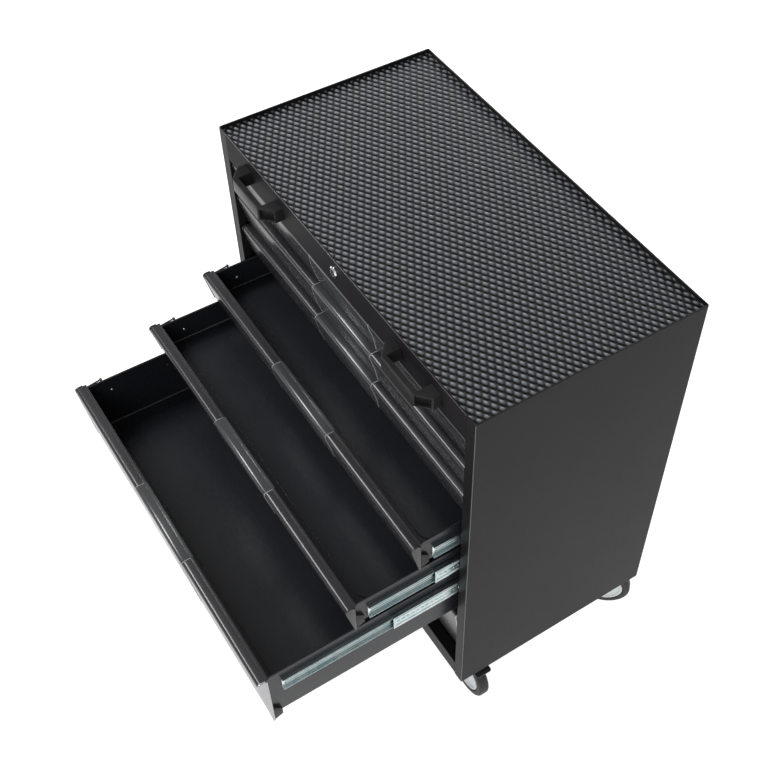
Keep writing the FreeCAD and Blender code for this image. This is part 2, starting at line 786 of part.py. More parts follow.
def drawers():
    """The seven drawers and their runners, from one single and one double pattern."""
    pairs = runners()
    fronts = {"single": front("single_front", SINGLE), "double": front("double_front", DOUBLE)}
    boxes = {"single": drawer_box("single_box", SINGLE_BOTTOM),
             "double": drawer_box("double_box", DOUBLE_BOTTOM)}
    whole = {}
    for kind, parts in fronts.items():
        whole[kind] = group(kind + "_front_set", *parts)
    fixed = []
    for name, rows, kind, opening in DRAWERS:
        z = drawer_top(rows)
        y = "0 - " + opening
        node(name + "_box", boxes[kind], "0", y, z)
        node(name + "_front", whole[kind], "0", y, z)
        node(name + "_inner_runners", pairs["inner"], "0", y, z + " - " + RUNNER_DROP)
        node(name + "_middle_runners", pairs["middle"], "0", "0 - %s / 2" % opening,
             z + " - " + RUNNER_DROP)
        fixed.append(place(group(name + "_cabinet_members", pairs["outer"]), "0", "0",
                           z + " - " + RUNNER_DROP))
    node("cabinet_runner_members", group("cabinet_members", *fixed))
    front_post = upright("front_upright", "UprightSetback")
    rear_post = upright("rear_upright", "CabinetDepth - UprightRear - UprightWidth")
    node("runner_uprights", group(
        "uprights", front_post, rear_post, mirrored("front_upright_left", front_post),
        mirrored("rear_upright_left", rear_post)))


def handle():
    """One moulded bow handle, with Y from the face of the rail and Z from its lower edge."""
    grip = "HandleGrip / 2"
    bow = prism(
        "handle_bow", "XY", "0", "HandleHeight",
        [
            ("-HandleBase / 2", "0"),
            ("-HandleBase / 2", "-HandleFoot", "HandleRound / 2"),
            ("-HandleBar / 2", "-HandleReach", "HandleRound"),
            ("HandleBar / 2", "-HandleReach", "HandleRound"),
            ("HandleBase / 2", "-HandleFoot", "HandleRound / 2"),
            ("HandleBase / 2", "0"),
            (grip, "0"),
            (grip, "-HandleReach + HandleBarDepth", "HandleRound"),
            ("-" + grip, "-HandleReach + HandleBarDepth", "HandleRound"),
            ("-" + grip, "0"),
        ])
    near = "-HandleFoot - PocketMargin"
    far = "-HandleReach + PocketMargin"
    floor = grip + " + PocketWall"
    pocket = prism(
        "handle_pocket", "XY", "PocketRim", "HandleHeight - 2 * PocketRim",
        [
            ("HandleBase / 2 + HandleRound", near),
            (floor, near, "HandleRound / 2"),
            (floor, far),
            ("HandleBase / 2 + HandleRound", far),
        ])
    return cut("handle", bow, pocket, mirrored("handle_pocket_left", pocket))


def lock():
    """The lock barrel, its plug with the cam, and the bar that holds the drawers."""
    z = TOP + " - LockDrop"
    barrel = spun(
        "lock_barrel_body", "XY", FreeCAD.Vector(0, 1, 0),
        [
            ("PlugRadius + PlugGap", "-LockProud"),
            ("LockFlangeRadius", "-LockProud", "BendRadius / 2"),
            ("LockFlangeRadius", "0"),
            ("LockRadius", "0"),
            ("LockRadius", "LockLength"),
            ("PlugRadius + PlugGap", "LockLength"),
        ])
    node("lock_barrel", barrel, "0", "0", z)

    pin_x = "-CamPinOffset"
    plug_round = rod("plug_round", "Y", "0", "-LockProud", "0", "PlugRadius",
                     "LockProud + LockLength + RunningGap")
    cam = rod("plug_cam", "Y", "0", "LockLength + RunningGap", "0", "CamRadius", "CamThickness")
    pin = rod("plug_pin", "Y", pin_x, "LockLength + RunningGap", pin_x, "CamPinRadius",
              "CamThickness + LockBarGap + LockBarThickness")
    keyway = box("plug_keyway", "-KeywayWidth / 2", "-2 * LockProud", "-KeywayHeight / 2",
                 "KeywayWidth", "LockProud + KeywayDepth", "KeywayHeight")
    node("lock_plug", cut("plug", fused("plug_whole", plug_round, cam, pin), keyway),
         "0", "0", z)

    y = "LockLength + RunningGap + CamThickness + LockBarGap"
    low = "-(%s) + %s - LatchDrop - FingerHeight" % (TOP + " - LockDrop", drawer_top(7))
    bar_x = "-" + HALF + " + LockBarInset"
    plate = prism(
        "lock_bar_plate", "XZ", y, "LockBarThickness",
        [
            (bar_x, low),
            (bar_x + " + LockBarWidth", low),
            (bar_x + " + LockBarWidth", "-LockBarWidth / 2", "BendRadius"),
            ("-LockPlateHalf", "-LockBarWidth / 2"),
            ("-LockPlateHalf", "-LockPlateHalf", "BendRadius"),
            ("LockPlateHalf", "-LockPlateHalf", "BendRadius"),
            ("LockPlateHalf", "LockBarWidth / 2", "BendRadius"),
            (bar_x, "LockBarWidth / 2", "BendRadius"),
        ],
        [
            (pin_x + " - CamPinRadius - CamPinGap", "-CamPinOffset * 1.5 - 2 * CamPinRadius"),
            (pin_x + " + CamPinRadius + CamPinGap", "-CamPinOffset * 1.5 - 2 * CamPinRadius"),
            (pin_x + " + CamPinRadius + CamPinGap", "CamPinRadius / 2"),
            (pin_x + " - CamPinRadius - CamPinGap", "CamPinRadius / 2"),
        ])
    fingers = []
    arm_x = bar_x + " + LockBarWidth - LockBarThickness"
    for name, rows, kind, opening in DRAWERS:
        top = "%s - LatchDrop + FingerHeight / 2 - (%s)" % (drawer_top(rows), z)
        fingers.append(box(
            name + "_finger_arm", arm_x, y, top + " - FingerHeight", "LockBarThickness",
            "FingerSetback + FingerThickness - (%s)" % y, "FingerHeight"))
        fingers.append(box(
            name + "_finger", arm_x, "FingerSetback", top + " - FingerHeight",
            "LockBarThickness + FingerReach", "FingerThickness", "FingerHeight"))
    node("lock_bar", fused("lock_bar_body", plate, *fingers), "0", "0", z)


def caster_plate():
    """Top plate, fixed race and kingpin of a caster, with Z from the floor."""
    plate = prism(
        "caster_top_plate", "XY", FLOOR + " - CasterPlateThickness", "CasterPlateThickness",
        [
            ("-CasterPlateLength / 2", "-CasterPlateWidth / 2", "BendRadius"),
            ("CasterPlateLength / 2", "-CasterPlateWidth / 2", "BendRadius"),
            ("CasterPlateLength / 2", "CasterPlateWidth / 2", "BendRadius"),
            ("-CasterPlateLength / 2", "CasterPlateWidth / 2", "BendRadius"),
        ])
    seat = FLOOR + " - CasterPlateThickness"
    race = spun(
        "caster_race", "XZ", FreeCAD.Vector(0, 0, 1),
        [
            ("0", seat + " + CasterPlateThickness / 2"),
            ("RaceRadius", seat + " + CasterPlateThickness / 2"),
            ("RaceRadius", seat + " - RaceHeight", "BendRadius"),
            ("KingpinRadius", seat + " - RaceHeight"),
            ("KingpinRadius", CROWN_LOW + " - RunningGap"),
            ("KingpinRadius * 1.6", CROWN_LOW + " - RunningGap"),
            ("KingpinRadius * 1.6", CROWN_LOW + " - RunningGap - KingpinRadius / 2"),
            ("0", CROWN_LOW + " - RunningGap - KingpinRadius / 2"),
        ])
    return fused("caster_plate", plate, race)


CROWN_TOP = "(CasterHeight + SheetSteel - CasterPlateThickness - RaceHeight - RunningGap)"
CROWN_LOW = ("(CasterHeight + SheetSteel - CasterPlateThickness - RaceHeight - RunningGap"
             " - CrownThickness)")


def fork(name, with_pedal):
    """Swivel fork with its axle, with X along the trail from the kingpin."""
    crown = spun(
        name + "_crown", "XZ", FreeCAD.Vector(0, 0, 1),
        [
            ("KingpinRadius + AxleGap", CROWN_LOW),
            ("CrownRadius - BendRadius", CROWN_LOW),
            ("CrownRadius", CROWN_LOW + " + BendRadius"),
            ("CrownRadius", CROWN_TOP, "SheetSteel"),
            ("KingpinRadius + AxleGap", CROWN_TOP),
        ])
    leg_y = "HubWidth / 2 + ForkGap"
    ear = "CasterTrail + PedalPinForward + PedalHubRadius" if with_pedal else "ForkTopHalf + 4"
    leg = prism(
        name + "_leg", "XZ", leg_y, "ForkSteel",
        [
            ("-ForkTopHalf", CROWN_LOW, "BendRadius"),
            ("CasterTrail - ForkEyeRadius", "WheelRadius - ForkEyeRadius",
             "ForkEyeRadius * 0.9"),
            ("CasterTrail + ForkEyeRadius", "WheelRadius - ForkEyeRadius",
             "ForkEyeRadius * 0.9"),
            (ear, "PedalPinHeight - PedalHubRadius", "BendRadius"),
            (ear, CROWN_TOP, "BendRadius"),
            ("-ForkTopHalf", CROWN_TOP, "SheetSteel"),
        ])
    bridge = prism(
        name + "_bridge", "XY", CROWN_LOW, "CrownThickness",
        [
            ("-ForkTopHalf + BendRadius", "-(%s)" % leg_y),
            ("ForkTopHalf - BendRadius", "-(%s)" % leg_y),
            ("ForkTopHalf - BendRadius", leg_y),
            ("-ForkTopHalf + BendRadius", leg_y),
        ])
    eye = rod(name + "_kingpin_hole", "Z", "0", "0", CROWN_LOW + " - CrownThickness",
              "KingpinRadius + AxleGap", "3 * CrownThickness")
    body = cut(name + "_body", fused(name + "_whole", crown, bridge, leg,
                                     mirrored(name + "_leg_other", leg, (0, 1, 0))), eye)
    axle = spun(
        name + "_axle", "XY", FreeCAD.Vector(0, 1, 0),
        [
            ("0", "-(%s) - ForkSteel - BoltHeight" % leg_y),
            ("AxleRadius * 1.7", "-(%s) - ForkSteel - BoltHeight" % leg_y),
            ("AxleRadius * 1.7", "-(%s) - ForkSteel" % leg_y),
            ("AxleRadius", "-(%s) - ForkSteel" % leg_y),
            ("AxleRadius", "%s + ForkSteel" % leg_y),
            ("AxleRadius * 1.7", "%s + ForkSteel" % leg_y),
            ("AxleRadius * 1.7", "%s + ForkSteel + BoltHeight" % leg_y),
            ("0", "%s + ForkSteel + BoltHeight" % leg_y),
        ], "CasterTrail", "0", "WheelRadius")
    pieces = [body, axle]
    if with_pedal:
        pieces.append(rod(name + "_pedal_pin", "Y", "CasterTrail + PedalPinForward",
                          "-(%s)" % leg_y, "PedalPinHeight", "PedalPinRadius",
                          "2 * (%s)" % leg_y))
    return fused(name, *pieces)


def casters():
    """Four swivel casters: plates on the base, forks, rims, tyres and the front pedals."""
    pivots = {
        "front_left": ("-%s + CasterInset" % HALF, "FrontCasterSetback", "180"),
        "front_right": ("%s - CasterInset" % HALF, "FrontCasterSetback", "0"),
        "rear_left": ("-%s + CasterInset" % HALF, "CabinetDepth - RearCasterSetback",
                      "180 - RearCasterTurn"),
        "rear_right": ("%s - CasterInset" % HALF, "CabinetDepth - RearCasterSetback",
                       "RearCasterTurn"),
    }
    top = caster_plate()
    plates = []
    bolts = []
    bolt = rod("caster_bolt", "Z", "0", "0", FLOOR + " - CasterPlateThickness - BoltHeight",
               "BoltRadius", "BoltHeight")
    for name, (x, y, turn) in pivots.items():
        plates.append(place(group(name + "_plate", top), x, y, "0"))
        for i, (sx, sy) in enumerate(((-1, -1), (1, -1), (1, 1), (-1, 1))):
            bolts.append(place(
                group("%s_bolt_%d" % (name, i), bolt),
                "%s + (%d) * (CasterPlateLength / 2 - BoltInset)" % (x, sx),
                "%s + (%d) * (CasterPlateWidth / 2 - BoltInset)" % (y, sy), "0"))
    node("caster_plates", group("caster_plate_set", *plates))
    node("caster_bolts", group("caster_bolt_set", *bolts))

    forks = {"front": fork("braked_fork", True), "rear": fork("plain_fork", False)}
    rim_outer = "(WheelRadius - TyreThickness)"
    rim = spun(
        "caster_rim", "XY", FreeCAD.Vector(0, 1, 0),
        [
            ("AxleRadius + AxleGap", "-HubWidth / 2"),
            ("HubRadius", "-HubWidth / 2", "SheetSteel"),
            ("HubRadius", "-RimWidth / 2 + RimDish"),
            (rim_outer + " - RimLip", "-RimWidth / 2 + RimDish", "SheetSteel"),
            (rim_outer + " - RimLip", "-RimWidth / 2"),
            (rim_outer, "-RimWidth / 2"),
            (rim_outer, "RimWidth / 2"),
            (rim_outer + " - RimLip", "RimWidth / 2"),
            (rim_outer + " - RimLip", "RimWidth / 2 - RimDish", "SheetSteel"),
            ("HubRadius", "RimWidth / 2 - RimDish"),
            ("HubRadius", "HubWidth / 2", "SheetSteel"),
            ("AxleRadius + AxleGap", "HubWidth / 2"),
        ], "CasterTrail", "0", "WheelRadius")
    tyre = spun(
        "caster_tyre", "XY", FreeCAD.Vector(0, 1, 0),
        [
            (rim_outer, "-TyreWidth / 2 + SheetSteel"),
            ("WheelRadius", "-TyreWidth / 2 + SheetSteel", "TyreShoulder"),
            ("WheelRadius", "TyreWidth / 2 - SheetSteel", "TyreShoulder"),
            (rim_outer, "TyreWidth / 2 - SheetSteel"),
        ], "CasterTrail", "0", "WheelRadius")
    pin_x = "CasterTrail + PedalPinForward"
    hub = rod("pedal_hub", "Y", pin_x, "-PedalWidth / 2", "PedalPinHeight", "PedalHubRadius",
              "PedalWidth")
    blade = prism(
        "pedal_blade", "XZ", "-PedalWidth / 2", "PedalWidth",
        [
            (pin_x, "PedalPinHeight"),
            (pin_x, "PedalPinHeight + PedalHubRadius"),
            (pin_x + " + PedalLength", "PedalPinHeight + PedalHubRadius - PedalDrop",
             "PedalThickness / 3"),
            (pin_x + " + PedalLength",
             "PedalPinHeight + PedalHubRadius - PedalDrop - PedalThickness",
             "PedalThickness / 3"),
            (pin_x + " + PedalHubRadius", "PedalPinHeight + PedalHubRadius - PedalThickness"),
        ])
    pin_hole = rod("pedal_hole", "Y", pin_x, "-PedalWidth", "PedalPinHeight",
                   "PedalPinRadius + AxleGap", "2 * PedalWidth")
    pedal = cut("pedal", fused("pedal_whole", hub, blade), pin_hole)
    for name, (x, y, turn) in pivots.items():
        end = name.split("_")[0]
        node(name + "_fork", forks[end], x, y, "0", turn)
        node(name + "_rim", rim, x, y, "0", turn)
        node(name + "_tyre", tyre, x, y, "0", turn)
        if end == "front":
            node(name + "_pedal", pedal, x, y, "0", turn)


cabinet_shell()
rails()
drawers()
bow = handle()
for side, sign in (("left", "-"), ("right", "")):
    node("pull_handle_" + side, bow, sign + "(CabinetWidth / 2 - HandleInset)", "0",
         TOP + " - HandleDrop - HandleHeight")
lock()
casters()
doc.recompute()

# The origin lies under the middle of the finished outline
whole = FreeCAD.BoundBox()
for part in NODES:
    whole.add(part.Shape.optimalBoundingBox(False, False))
shift = "%.6f" % (-(whole.YMin + whole.YMax) / 2)
dim.set("B%d" % (list(SIZES).index("OutlineShift") + 1), shift)
doc.recompute()

faults = [obj.Name for obj in doc.Objects if "Invalid" in obj.State or "Error" in obj.State]
for part in NODES:
    if not part.Label == part.Name[len("Node_"):]:
        faults.append(part.Label)
    if part.Shape.isNull() or not part.Shape.isValid() or not part.Shape.Solids:
        faults.append(part.Label)
if faults:
    raise RuntimeError("Failed pieces: " + ", ".join(faults))

os.makedirs("parts", exist_ok=True)
for part in NODES:
    part.Shape.exportStep("parts/%s.step" % part.Label)
print("outline", whole, "shift", shift, "nodes", len(NODES))
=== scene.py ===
"""Rolling tool cabinet: its finishes, trim, studio and camera."""
import json
import logging
import math
from dataclasses import dataclass
from enum import Enum
from typing import Callable, Iterable, Sequence

import bmesh
import bpy
from mathutils import Matrix, Vector

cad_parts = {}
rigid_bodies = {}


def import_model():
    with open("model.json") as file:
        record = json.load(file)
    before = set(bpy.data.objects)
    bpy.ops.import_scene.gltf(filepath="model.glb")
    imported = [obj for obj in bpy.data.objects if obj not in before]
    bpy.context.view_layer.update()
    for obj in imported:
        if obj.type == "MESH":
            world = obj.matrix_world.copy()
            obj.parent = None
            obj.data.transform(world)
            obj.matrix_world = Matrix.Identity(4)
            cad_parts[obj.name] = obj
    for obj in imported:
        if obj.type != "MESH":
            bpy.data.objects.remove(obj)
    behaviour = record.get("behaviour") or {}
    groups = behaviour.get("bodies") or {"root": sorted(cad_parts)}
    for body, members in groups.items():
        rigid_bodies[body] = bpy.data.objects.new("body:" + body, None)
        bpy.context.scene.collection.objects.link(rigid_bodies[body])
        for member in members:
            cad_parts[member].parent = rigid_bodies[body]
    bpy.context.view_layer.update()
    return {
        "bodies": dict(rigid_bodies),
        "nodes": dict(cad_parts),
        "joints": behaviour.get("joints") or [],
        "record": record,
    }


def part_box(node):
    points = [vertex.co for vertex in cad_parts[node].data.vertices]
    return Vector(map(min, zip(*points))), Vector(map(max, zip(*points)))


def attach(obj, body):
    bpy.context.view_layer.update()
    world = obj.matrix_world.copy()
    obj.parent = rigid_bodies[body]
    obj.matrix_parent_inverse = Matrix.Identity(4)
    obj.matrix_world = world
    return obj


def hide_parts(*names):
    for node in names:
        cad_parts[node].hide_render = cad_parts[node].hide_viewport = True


LOG = logging.getLogger("cabinet")
MM = 0.001
SIDES = (-1, 1)
DRAWERS = range(1, 8)
SHARP = math.radians(60)
WELD = 1e-6
NUMBER = "NodeSocketFloat"
VECTOR = "NodeSocketVector"


class EdgeWearAndHighlight(Enum):
    """Share of the sharp edges that takes the edge tone: wear on most finishes, a painted
    highlight on the pale-edged ones.
    """

    NONE = 0.0
    LIGHT = 0.35
    RUBBED = 0.5
    SOME = 0.7


@dataclass(frozen=True)
class Weave:
    """The mat's crossing waves: strands one way, and gaps that notch them."""

    pitch_x: float = 25.4 * MM
    pitch_y: float = 15.7 * MM
    notch: float = 0.72
    bridge: float = 0.2
    fall: float = 1.5

    def depth(self, x: float, y: float) -> float:
        """Works out the depth below the strands.

        Args:
            x: Place along the mat.
            y: Place across the mat.

        Returns:
            The depth, 0 on a crest and 1 in a pit.
        """
        across, along = 2 * math.pi * x / self.pitch_x, 2 * math.pi * y / self.pitch_y
        strand = (1 + math.cos(across - along)) / 2
        gap = ((1 - math.cos(across + along)) / 2) ** self.fall
        return 1 - strand * (1 - self.notch * gap) - (1 - strand) * self.bridge * gap


WEAVE = Weave()


# Node graphs


class Graph:
    """A node tree with short calls for adding and joining nodes."""

    def __init__(self, tree: bpy.types.NodeTree) -> None:
        """Keeps the tree that nodes are added to."""
        self.tree = tree

    def add(self, kind: str, **settings: object) -> bpy.types.Node:
        """Adds a node.

        Args:
            kind: The node's type name.
            **settings: Attributes of the node, set as given.

        Returns:
            The new node.
        """
        node = self.tree.nodes.new(kind)
        for name, value in settings.items():
            setattr(node, name, value)
        return node

    def put(self, value: object, socket: bpy.types.NodeSocket) -> None:
        """Joins an output to an input, or sets the input to a plain value.

        Args:
            value: An output socket, a number or a colour.
            socket: The input.
        """
        if isinstance(value, bpy.types.NodeSocket):
            self.tree.links.new(value, socket)
        else:
            socket.default_value = value

    def feed(self, node: bpy.types.Node, **inputs: object) -> bpy.types.Node:
        """Fills inputs of a node by name, with _ for a space.

        Args:
            node: The node.
            **inputs: What goes into each input.

        Returns:
            The same node.
        """
        for name, value in inputs.items():
            self.put(value, node.inputs[name.replace("_", " ")])
        return node

    def get(self, kind: str, output: str, **inputs: object) -> bpy.types.NodeSocket:
        """Adds a node, fills its inputs and gives one of its outputs."""
        return self.feed(self.add(kind), **inputs).outputs[output]

    def maths(self, operation: str, *values: object) -> bpy.types.NodeSocket:
        """Adds a Math node.

        Args:
            operation: The node's operation.
            *values: What goes into its inputs, in turn.

        Returns:
            Its output.
        """
        node = self.add("ShaderNodeMath", operation=operation)
        for value, socket in zip(values, node.inputs):
            self.put(value, socket)
        return node.outputs[0]

    def span(self, value: object, low: float, high: float,
             start: float = 0.0, end: float = 1.0) -> bpy.types.NodeSocket:
        """Maps a value from low..high to start..end, held at both ends."""
        return self.get("ShaderNodeMapRange", "Result", Value=value, From_Min=low,
                        From_Max=high, To_Min=start, To_Max=end)

    def blend(self, factor: object, first: object, second: object) -> bpy.types.NodeSocket:
        """Mixes two colours.

        Args:
            factor: Share of the second colour.
            first: A colour or its socket.
            second: The other colour.

        Returns:
            The mixed colour.
        """
        node = self.add("ShaderNodeMix", data_type="RGBA")
        self.put(factor, node.inputs["Factor"])
        for value, socket in zip((first, second), node.inputs[6:8]):
            self.put((*value, 1.0) if isinstance(value, tuple) else value, socket)
        return node.outputs[2]

    def mark(self, mask: object, share: float, under: object, tone: tuple) -> object:
        """Lays a tone over a colour where a mask shows it."""
        return self.blend(self.maths("MULTIPLY", mask, share), under, tone)

    def bump(self, strength: float, distance: float, height: object, **normal: object) -> object:
        """Adds a Bump node and gives its normal."""
        return self.get("ShaderNodeBump", "Normal", Strength=strength, Distance=distance,
                        Height=height, **normal)

    def group(self, tree: bpy.types.NodeTree, **inputs: object) -> object:
        """Adds a node group, fills its inputs and gives its outputs."""
        return self.feed(self.add("ShaderNodeGroup", node_tree=tree), **inputs).outputs


class Group(Graph):
    """A node group with number inputs, in the object's own coordinates."""

    def __init__(self, name: str, inputs: dict, outputs: dict) -> None:
        """Makes the group and its sockets.

        Args:
            name: The group's name.
            inputs: Default of each input.
            outputs: Socket type of each output.
        """
        super().__init__(bpy.data.node_groups.new(name, "ShaderNodeTree"))
        for label, default in inputs.items():
            socket = self.tree.interface.new_socket(label, in_out="INPUT", socket_type=NUMBER)
            socket.default_value = default
        for label, kind in outputs.items():
            self.tree.interface.new_socket(label, in_out="OUTPUT", socket_type=kind)
        self.given = self.add("NodeGroupInput").outputs
        self.out = self.add("NodeGroupOutput")
        self.where = self.get("ShaderNodeTexCoord", "Object")

    def noise(self, scale: object, detail: float, roughness: float = 0.5,
              stretch: tuple = ()) -> bpy.types.NodeSocket:
        """Adds noise.

        Args:
            scale: Its scale.
            detail: Its detail.
            roughness: Its roughness.
            stretch: Scale of the coordinates on each axis, where they are stretched.

        Returns:
            The noise's value.
        """
        where = self.where
        if stretch:
            where = self.get("ShaderNodeMapping", "Vector", Vector=where, Scale=stretch)
        return self.get("ShaderNodeTexNoise", "Fac", Vector=where, Scale=scale,
                        Detail=detail, Roughness=roughness)

    def close(self, **results: object) -> bpy.types.NodeTree:
        """Joins the results to the group's outputs and gives its tree."""
        self.feed(self.out, **results)
        return self.tree


class Surface(Graph):
    """The graph of a new material with one Principled shader."""

    def __init__(self, name: str) -> None:
        """Makes the material of that name.

        Args:
            name: The material's name.
        """
        self.material = bpy.data.materials.new(name)
        self.material.use_nodes = True
        super().__init__(self.material.node_tree)

    def close(self, **inputs: object) -> bpy.types.Material:
        """Fills the shader's inputs and gives the material."""
        self.feed(self.tree.nodes["Principled BSDF"], **inputs)
        return self.material


class Effects:
    """The effects that several finishes share, each one node group built once."""

    def __init__(self) -> None:
        """Builds every group."""
        self.grain = self._grain()
        self.edge = self._edge()
        self.dust = self._dust()
        self.brush = self._brush()
        self.weave = self._weave()

    @staticmethod
    def _grain() -> bpy.types.NodeTree:
        """Makes the fine orange-peel of a coat: a height and a tone.

        Returns:
            The group's tree.
        """
        group = Group("coat_grain", {"Scale": 900.0, "Patch": 6.0},
                      {"Height": NUMBER, "Tone": NUMBER})
        broad = group.noise(group.given["Patch"], 3.0, 0.6)
        return group.close(Height=group.noise(group.given["Scale"], 2.0, 0.55),
                           Tone=group.span(broad, 0.3, 0.7))

    @staticmethod
    def _edge() -> bpy.types.NodeTree:
        """Makes the rounded normal of sharp edges, and a mask of them, which marks wear and, on
        the pale-edged finishes, a painted highlight.

        Returns:
            The group's tree.
        """
        group = Group("worn_and_highlit_edge", {"Width": 0.0012, "Break": 90.0},
                      {"Mask": NUMBER, "Normal": VECTOR})
        bevel = group.feed(group.add("ShaderNodeBevel", samples=4), Radius=group.given["Width"])
        rounded = bevel.outputs["Normal"]
        dot = group.add("ShaderNodeVectorMath", operation="DOT_PRODUCT")
        group.put(rounded, dot.inputs[0])
        group.put(group.get("ShaderNodeNewGeometry", "Normal"), dot.inputs[1])
        sharp = group.span(dot.outputs["Value"], 0.99, 0.9)
        patchy = group.span(group.noise(group.given["Break"], 4.0), 0.45, 0.62)
        return group.close(Mask=group.maths("MULTIPLY", sharp, patchy), Normal=rounded)

    @staticmethod
    def _dust() -> bpy.types.NodeTree:
        """Makes light dust and handling marks in soft patches.

        Returns:
            The group's tree.
        """
        group = Group("dust_and_marks", {"Scale": 9.0}, {"Dust": NUMBER, "Marks": NUMBER})
        scale = group.given["Scale"]
        cloud = group.span(group.noise(scale, 6.0, 0.7), 0.45, 0.75)
        specks = group.span(group.noise(group.maths("MULTIPLY", scale, 60.0), 2.0), 0.4, 0.8)
        streak = group.noise(group.maths("MULTIPLY", scale, 3.0), 5.0, stretch=(1.0, 6.0, 3.0))
        return group.close(Dust=group.maths("MULTIPLY", cloud, specks),
                           Marks=group.span(streak, 0.5, 0.8))

    @staticmethod
    def _brush() -> bpy.types.NodeTree:
        """Makes the drawn lines of plated strip along Y, and a spangle tone.

        Returns:
            The group's tree.
        """
        group = Group("drawn_metal", {"Scale": 260.0, "Spangle": 55.0},
                      {"Lines": NUMBER, "Spangle": NUMBER})
        cells = group.get("ShaderNodeTexVoronoi", "Color", Vector=group.where,
                          Scale=group.given["Spangle"])
        return group.close(Lines=group.noise(group.given["Scale"], 3.0, stretch=(1.0, 0.03, 1.0)),
                           Spangle=group.get("ShaderNodeSeparateColor", "Red", Color=cells))

    @staticmethod
    def _weave() -> bpy.types.NodeTree:
        """Makes the height of the mat's strands, by the waves of its mesh.

        Returns:
            The group's tree.
        """
        group = Group("mat_weave", {"Pitch X": WEAVE.pitch_x, "Pitch Y": WEAVE.pitch_y,
                                    "Notch": WEAVE.notch, "Bridge": WEAVE.bridge},
                      {"Height": NUMBER})
        given = group.given
        axes = group.feed(group.add("ShaderNodeSeparateXYZ"), Vector=group.where).outputs
        turns = [group.maths("MULTIPLY", group.maths("DIVIDE", axes[axis], given[f"Pitch {axis}"]),
                             2 * math.pi) for axis in "XY"]
        strand = group.span(group.maths("COSINE", group.maths("SUBTRACT", *turns)), -1.0, 1.0)
        gap = group.span(group.maths("COSINE", group.maths("ADD", *turns)), 1.0, -1.0)
        gap = group.maths("POWER", gap, WEAVE.fall)
        crest = group.maths("SUBTRACT", 1.0, group.maths("MULTIPLY", gap, given["Notch"]))
        saddle = group.maths("MULTIPLY", gap, given["Bridge"])
        rise = group.maths("MULTIPLY", strand, group.maths("SUBTRACT", crest, saddle))
        return group.close(Height=group.maths("ADD", saddle, rise))


# Finishes


@dataclass(frozen=True)
class PaintFinish:
    """Textured powder coat over steel: two tones, edges lightened as wear and on the pale-edged
    finishes as a painted highlight, dust and grain.
    """

    name: str
    dark: tuple = (0.0085, 0.0085, 0.009)
    light: tuple = (0.011, 0.011, 0.0115)
    roughness: float = 0.42
    spread: tuple = (0.0, 0.03)
    specular: float = 0.09
    grain: float = 0.05
    grain_scale: float = 850.0
    grain_depth: float = 0.0004
    patch: float = 5.0
    edge_width: float = 0.0012
    edge_break: float = 80.0
    edge_tone: tuple = (0.07, 0.07, 0.075)
    wear_and_highlight: EdgeWearAndHighlight = EdgeWearAndHighlight.LIGHT
    dust: float = 0.06
    dust_scale: float = 7.0
    dust_tone: tuple = (0.08, 0.078, 0.075)

    def uneven(self, surface: Surface, grain: object, dust: object) -> bpy.types.NodeSocket:
        """Varies the roughness by the handling marks."""
        return surface.span(dust["Marks"], 0.0, 1.0, *(self.roughness + s for s in self.spread))

    def build(self, effects: Effects) -> bpy.types.Material:
        """Makes the material.

        Args:
            effects: The shared node groups.

        Returns:
            The finished material.
        """
        surface = Surface(self.name)
        grain = surface.group(effects.grain, Scale=self.grain_scale, Patch=self.patch)
        edge = surface.group(effects.edge, Width=self.edge_width, Break=self.edge_break)
        dust = surface.group(effects.dust, Scale=self.dust_scale)
        coat = surface.blend(grain["Tone"], self.dark, self.light)
        # edge tone laid over the coat where the edge mask shows: wear on most finishes, a painted
        # highlight where the edge tone is pale
        worn_and_highlit = surface.mark(edge["Mask"], self.wear_and_highlight.value, coat, self.edge_tone)
        return surface.close(
            Base_Color=surface.mark(dust["Dust"], self.dust, worn_and_highlit, self.dust_tone),
            Roughness=self.uneven(surface, grain, dust), Specular_IOR_Level=self.specular,
            Normal=surface.bump(self.grain, self.grain_depth, grain["Height"],
                                Normal=edge["Normal"]))


@dataclass(frozen=True)
class MouldedFinish(PaintFinish):
    """Moulded plastic or rubber, lighter at its edges: rubbed wear, and on the pale-edged finishes
    a painted highlight.
    """

    dark: tuple = (0.012, 0.012, 0.013)
    light: tuple = (0.02, 0.02, 0.022)
    roughness: float = 0.5
    spread: tuple = (-0.06, 0.08)
    specular: float = 0.5
    grain: float = 0.15
    grain_scale: float = 1500.0
    grain_depth: float = 0.0003
    patch: float = 14.0
    edge_width: float = 0.0008
    edge_break: float = 150.0
    edge_tone: tuple = (0.05, 0.05, 0.052)
    wear_and_highlight: EdgeWearAndHighlight = EdgeWearAndHighlight.RUBBED
    dust: float = 0.12
    dust_scale: float = 14.0
    dust_tone: tuple = (0.15, 0.145, 0.14)

    def uneven(self, surface: Surface, grain: object, dust: object) -> bpy.types.NodeSocket:
        """Varies the roughness by the grain of the mould."""
        return surface.span(grain["Height"], 0.3, 0.7, *(self.roughness + s for s in self.spread))


@dataclass(frozen=True)
class PlateFinish:
    """Plated or chromed steel."""

    name: str
    tone: tuple = (0.62, 0.68, 0.69)
    tint: tuple = (0.4, 0.54, 0.55)
    low: float = 0.2
    high: float = 0.34
    lines: float = 0.04
    spangle: float = 0.6

    def build(self, effects: Effects) -> bpy.types.Material:
        """Makes the material.

        Args:
            effects: The shared node groups.

        Returns:
            The finished material.
        """
        surface = Surface(self.name)
        drawn = surface.group(effects.brush, Scale=260.0, Spangle=70.0)
        edge = surface.group(effects.edge, Width=0.0006, Break=120.0)
        lines = drawn["Lines"]
        return surface.close(
            Base_Color=surface.mark(drawn["Spangle"], self.spangle, self.tone, self.tint),
            Metallic=1.0, Roughness=surface.span(lines, 0.3, 0.7, self.low, self.high),
            Normal=surface.bump(self.lines, 0.0002, lines, Normal=edge["Normal"]))


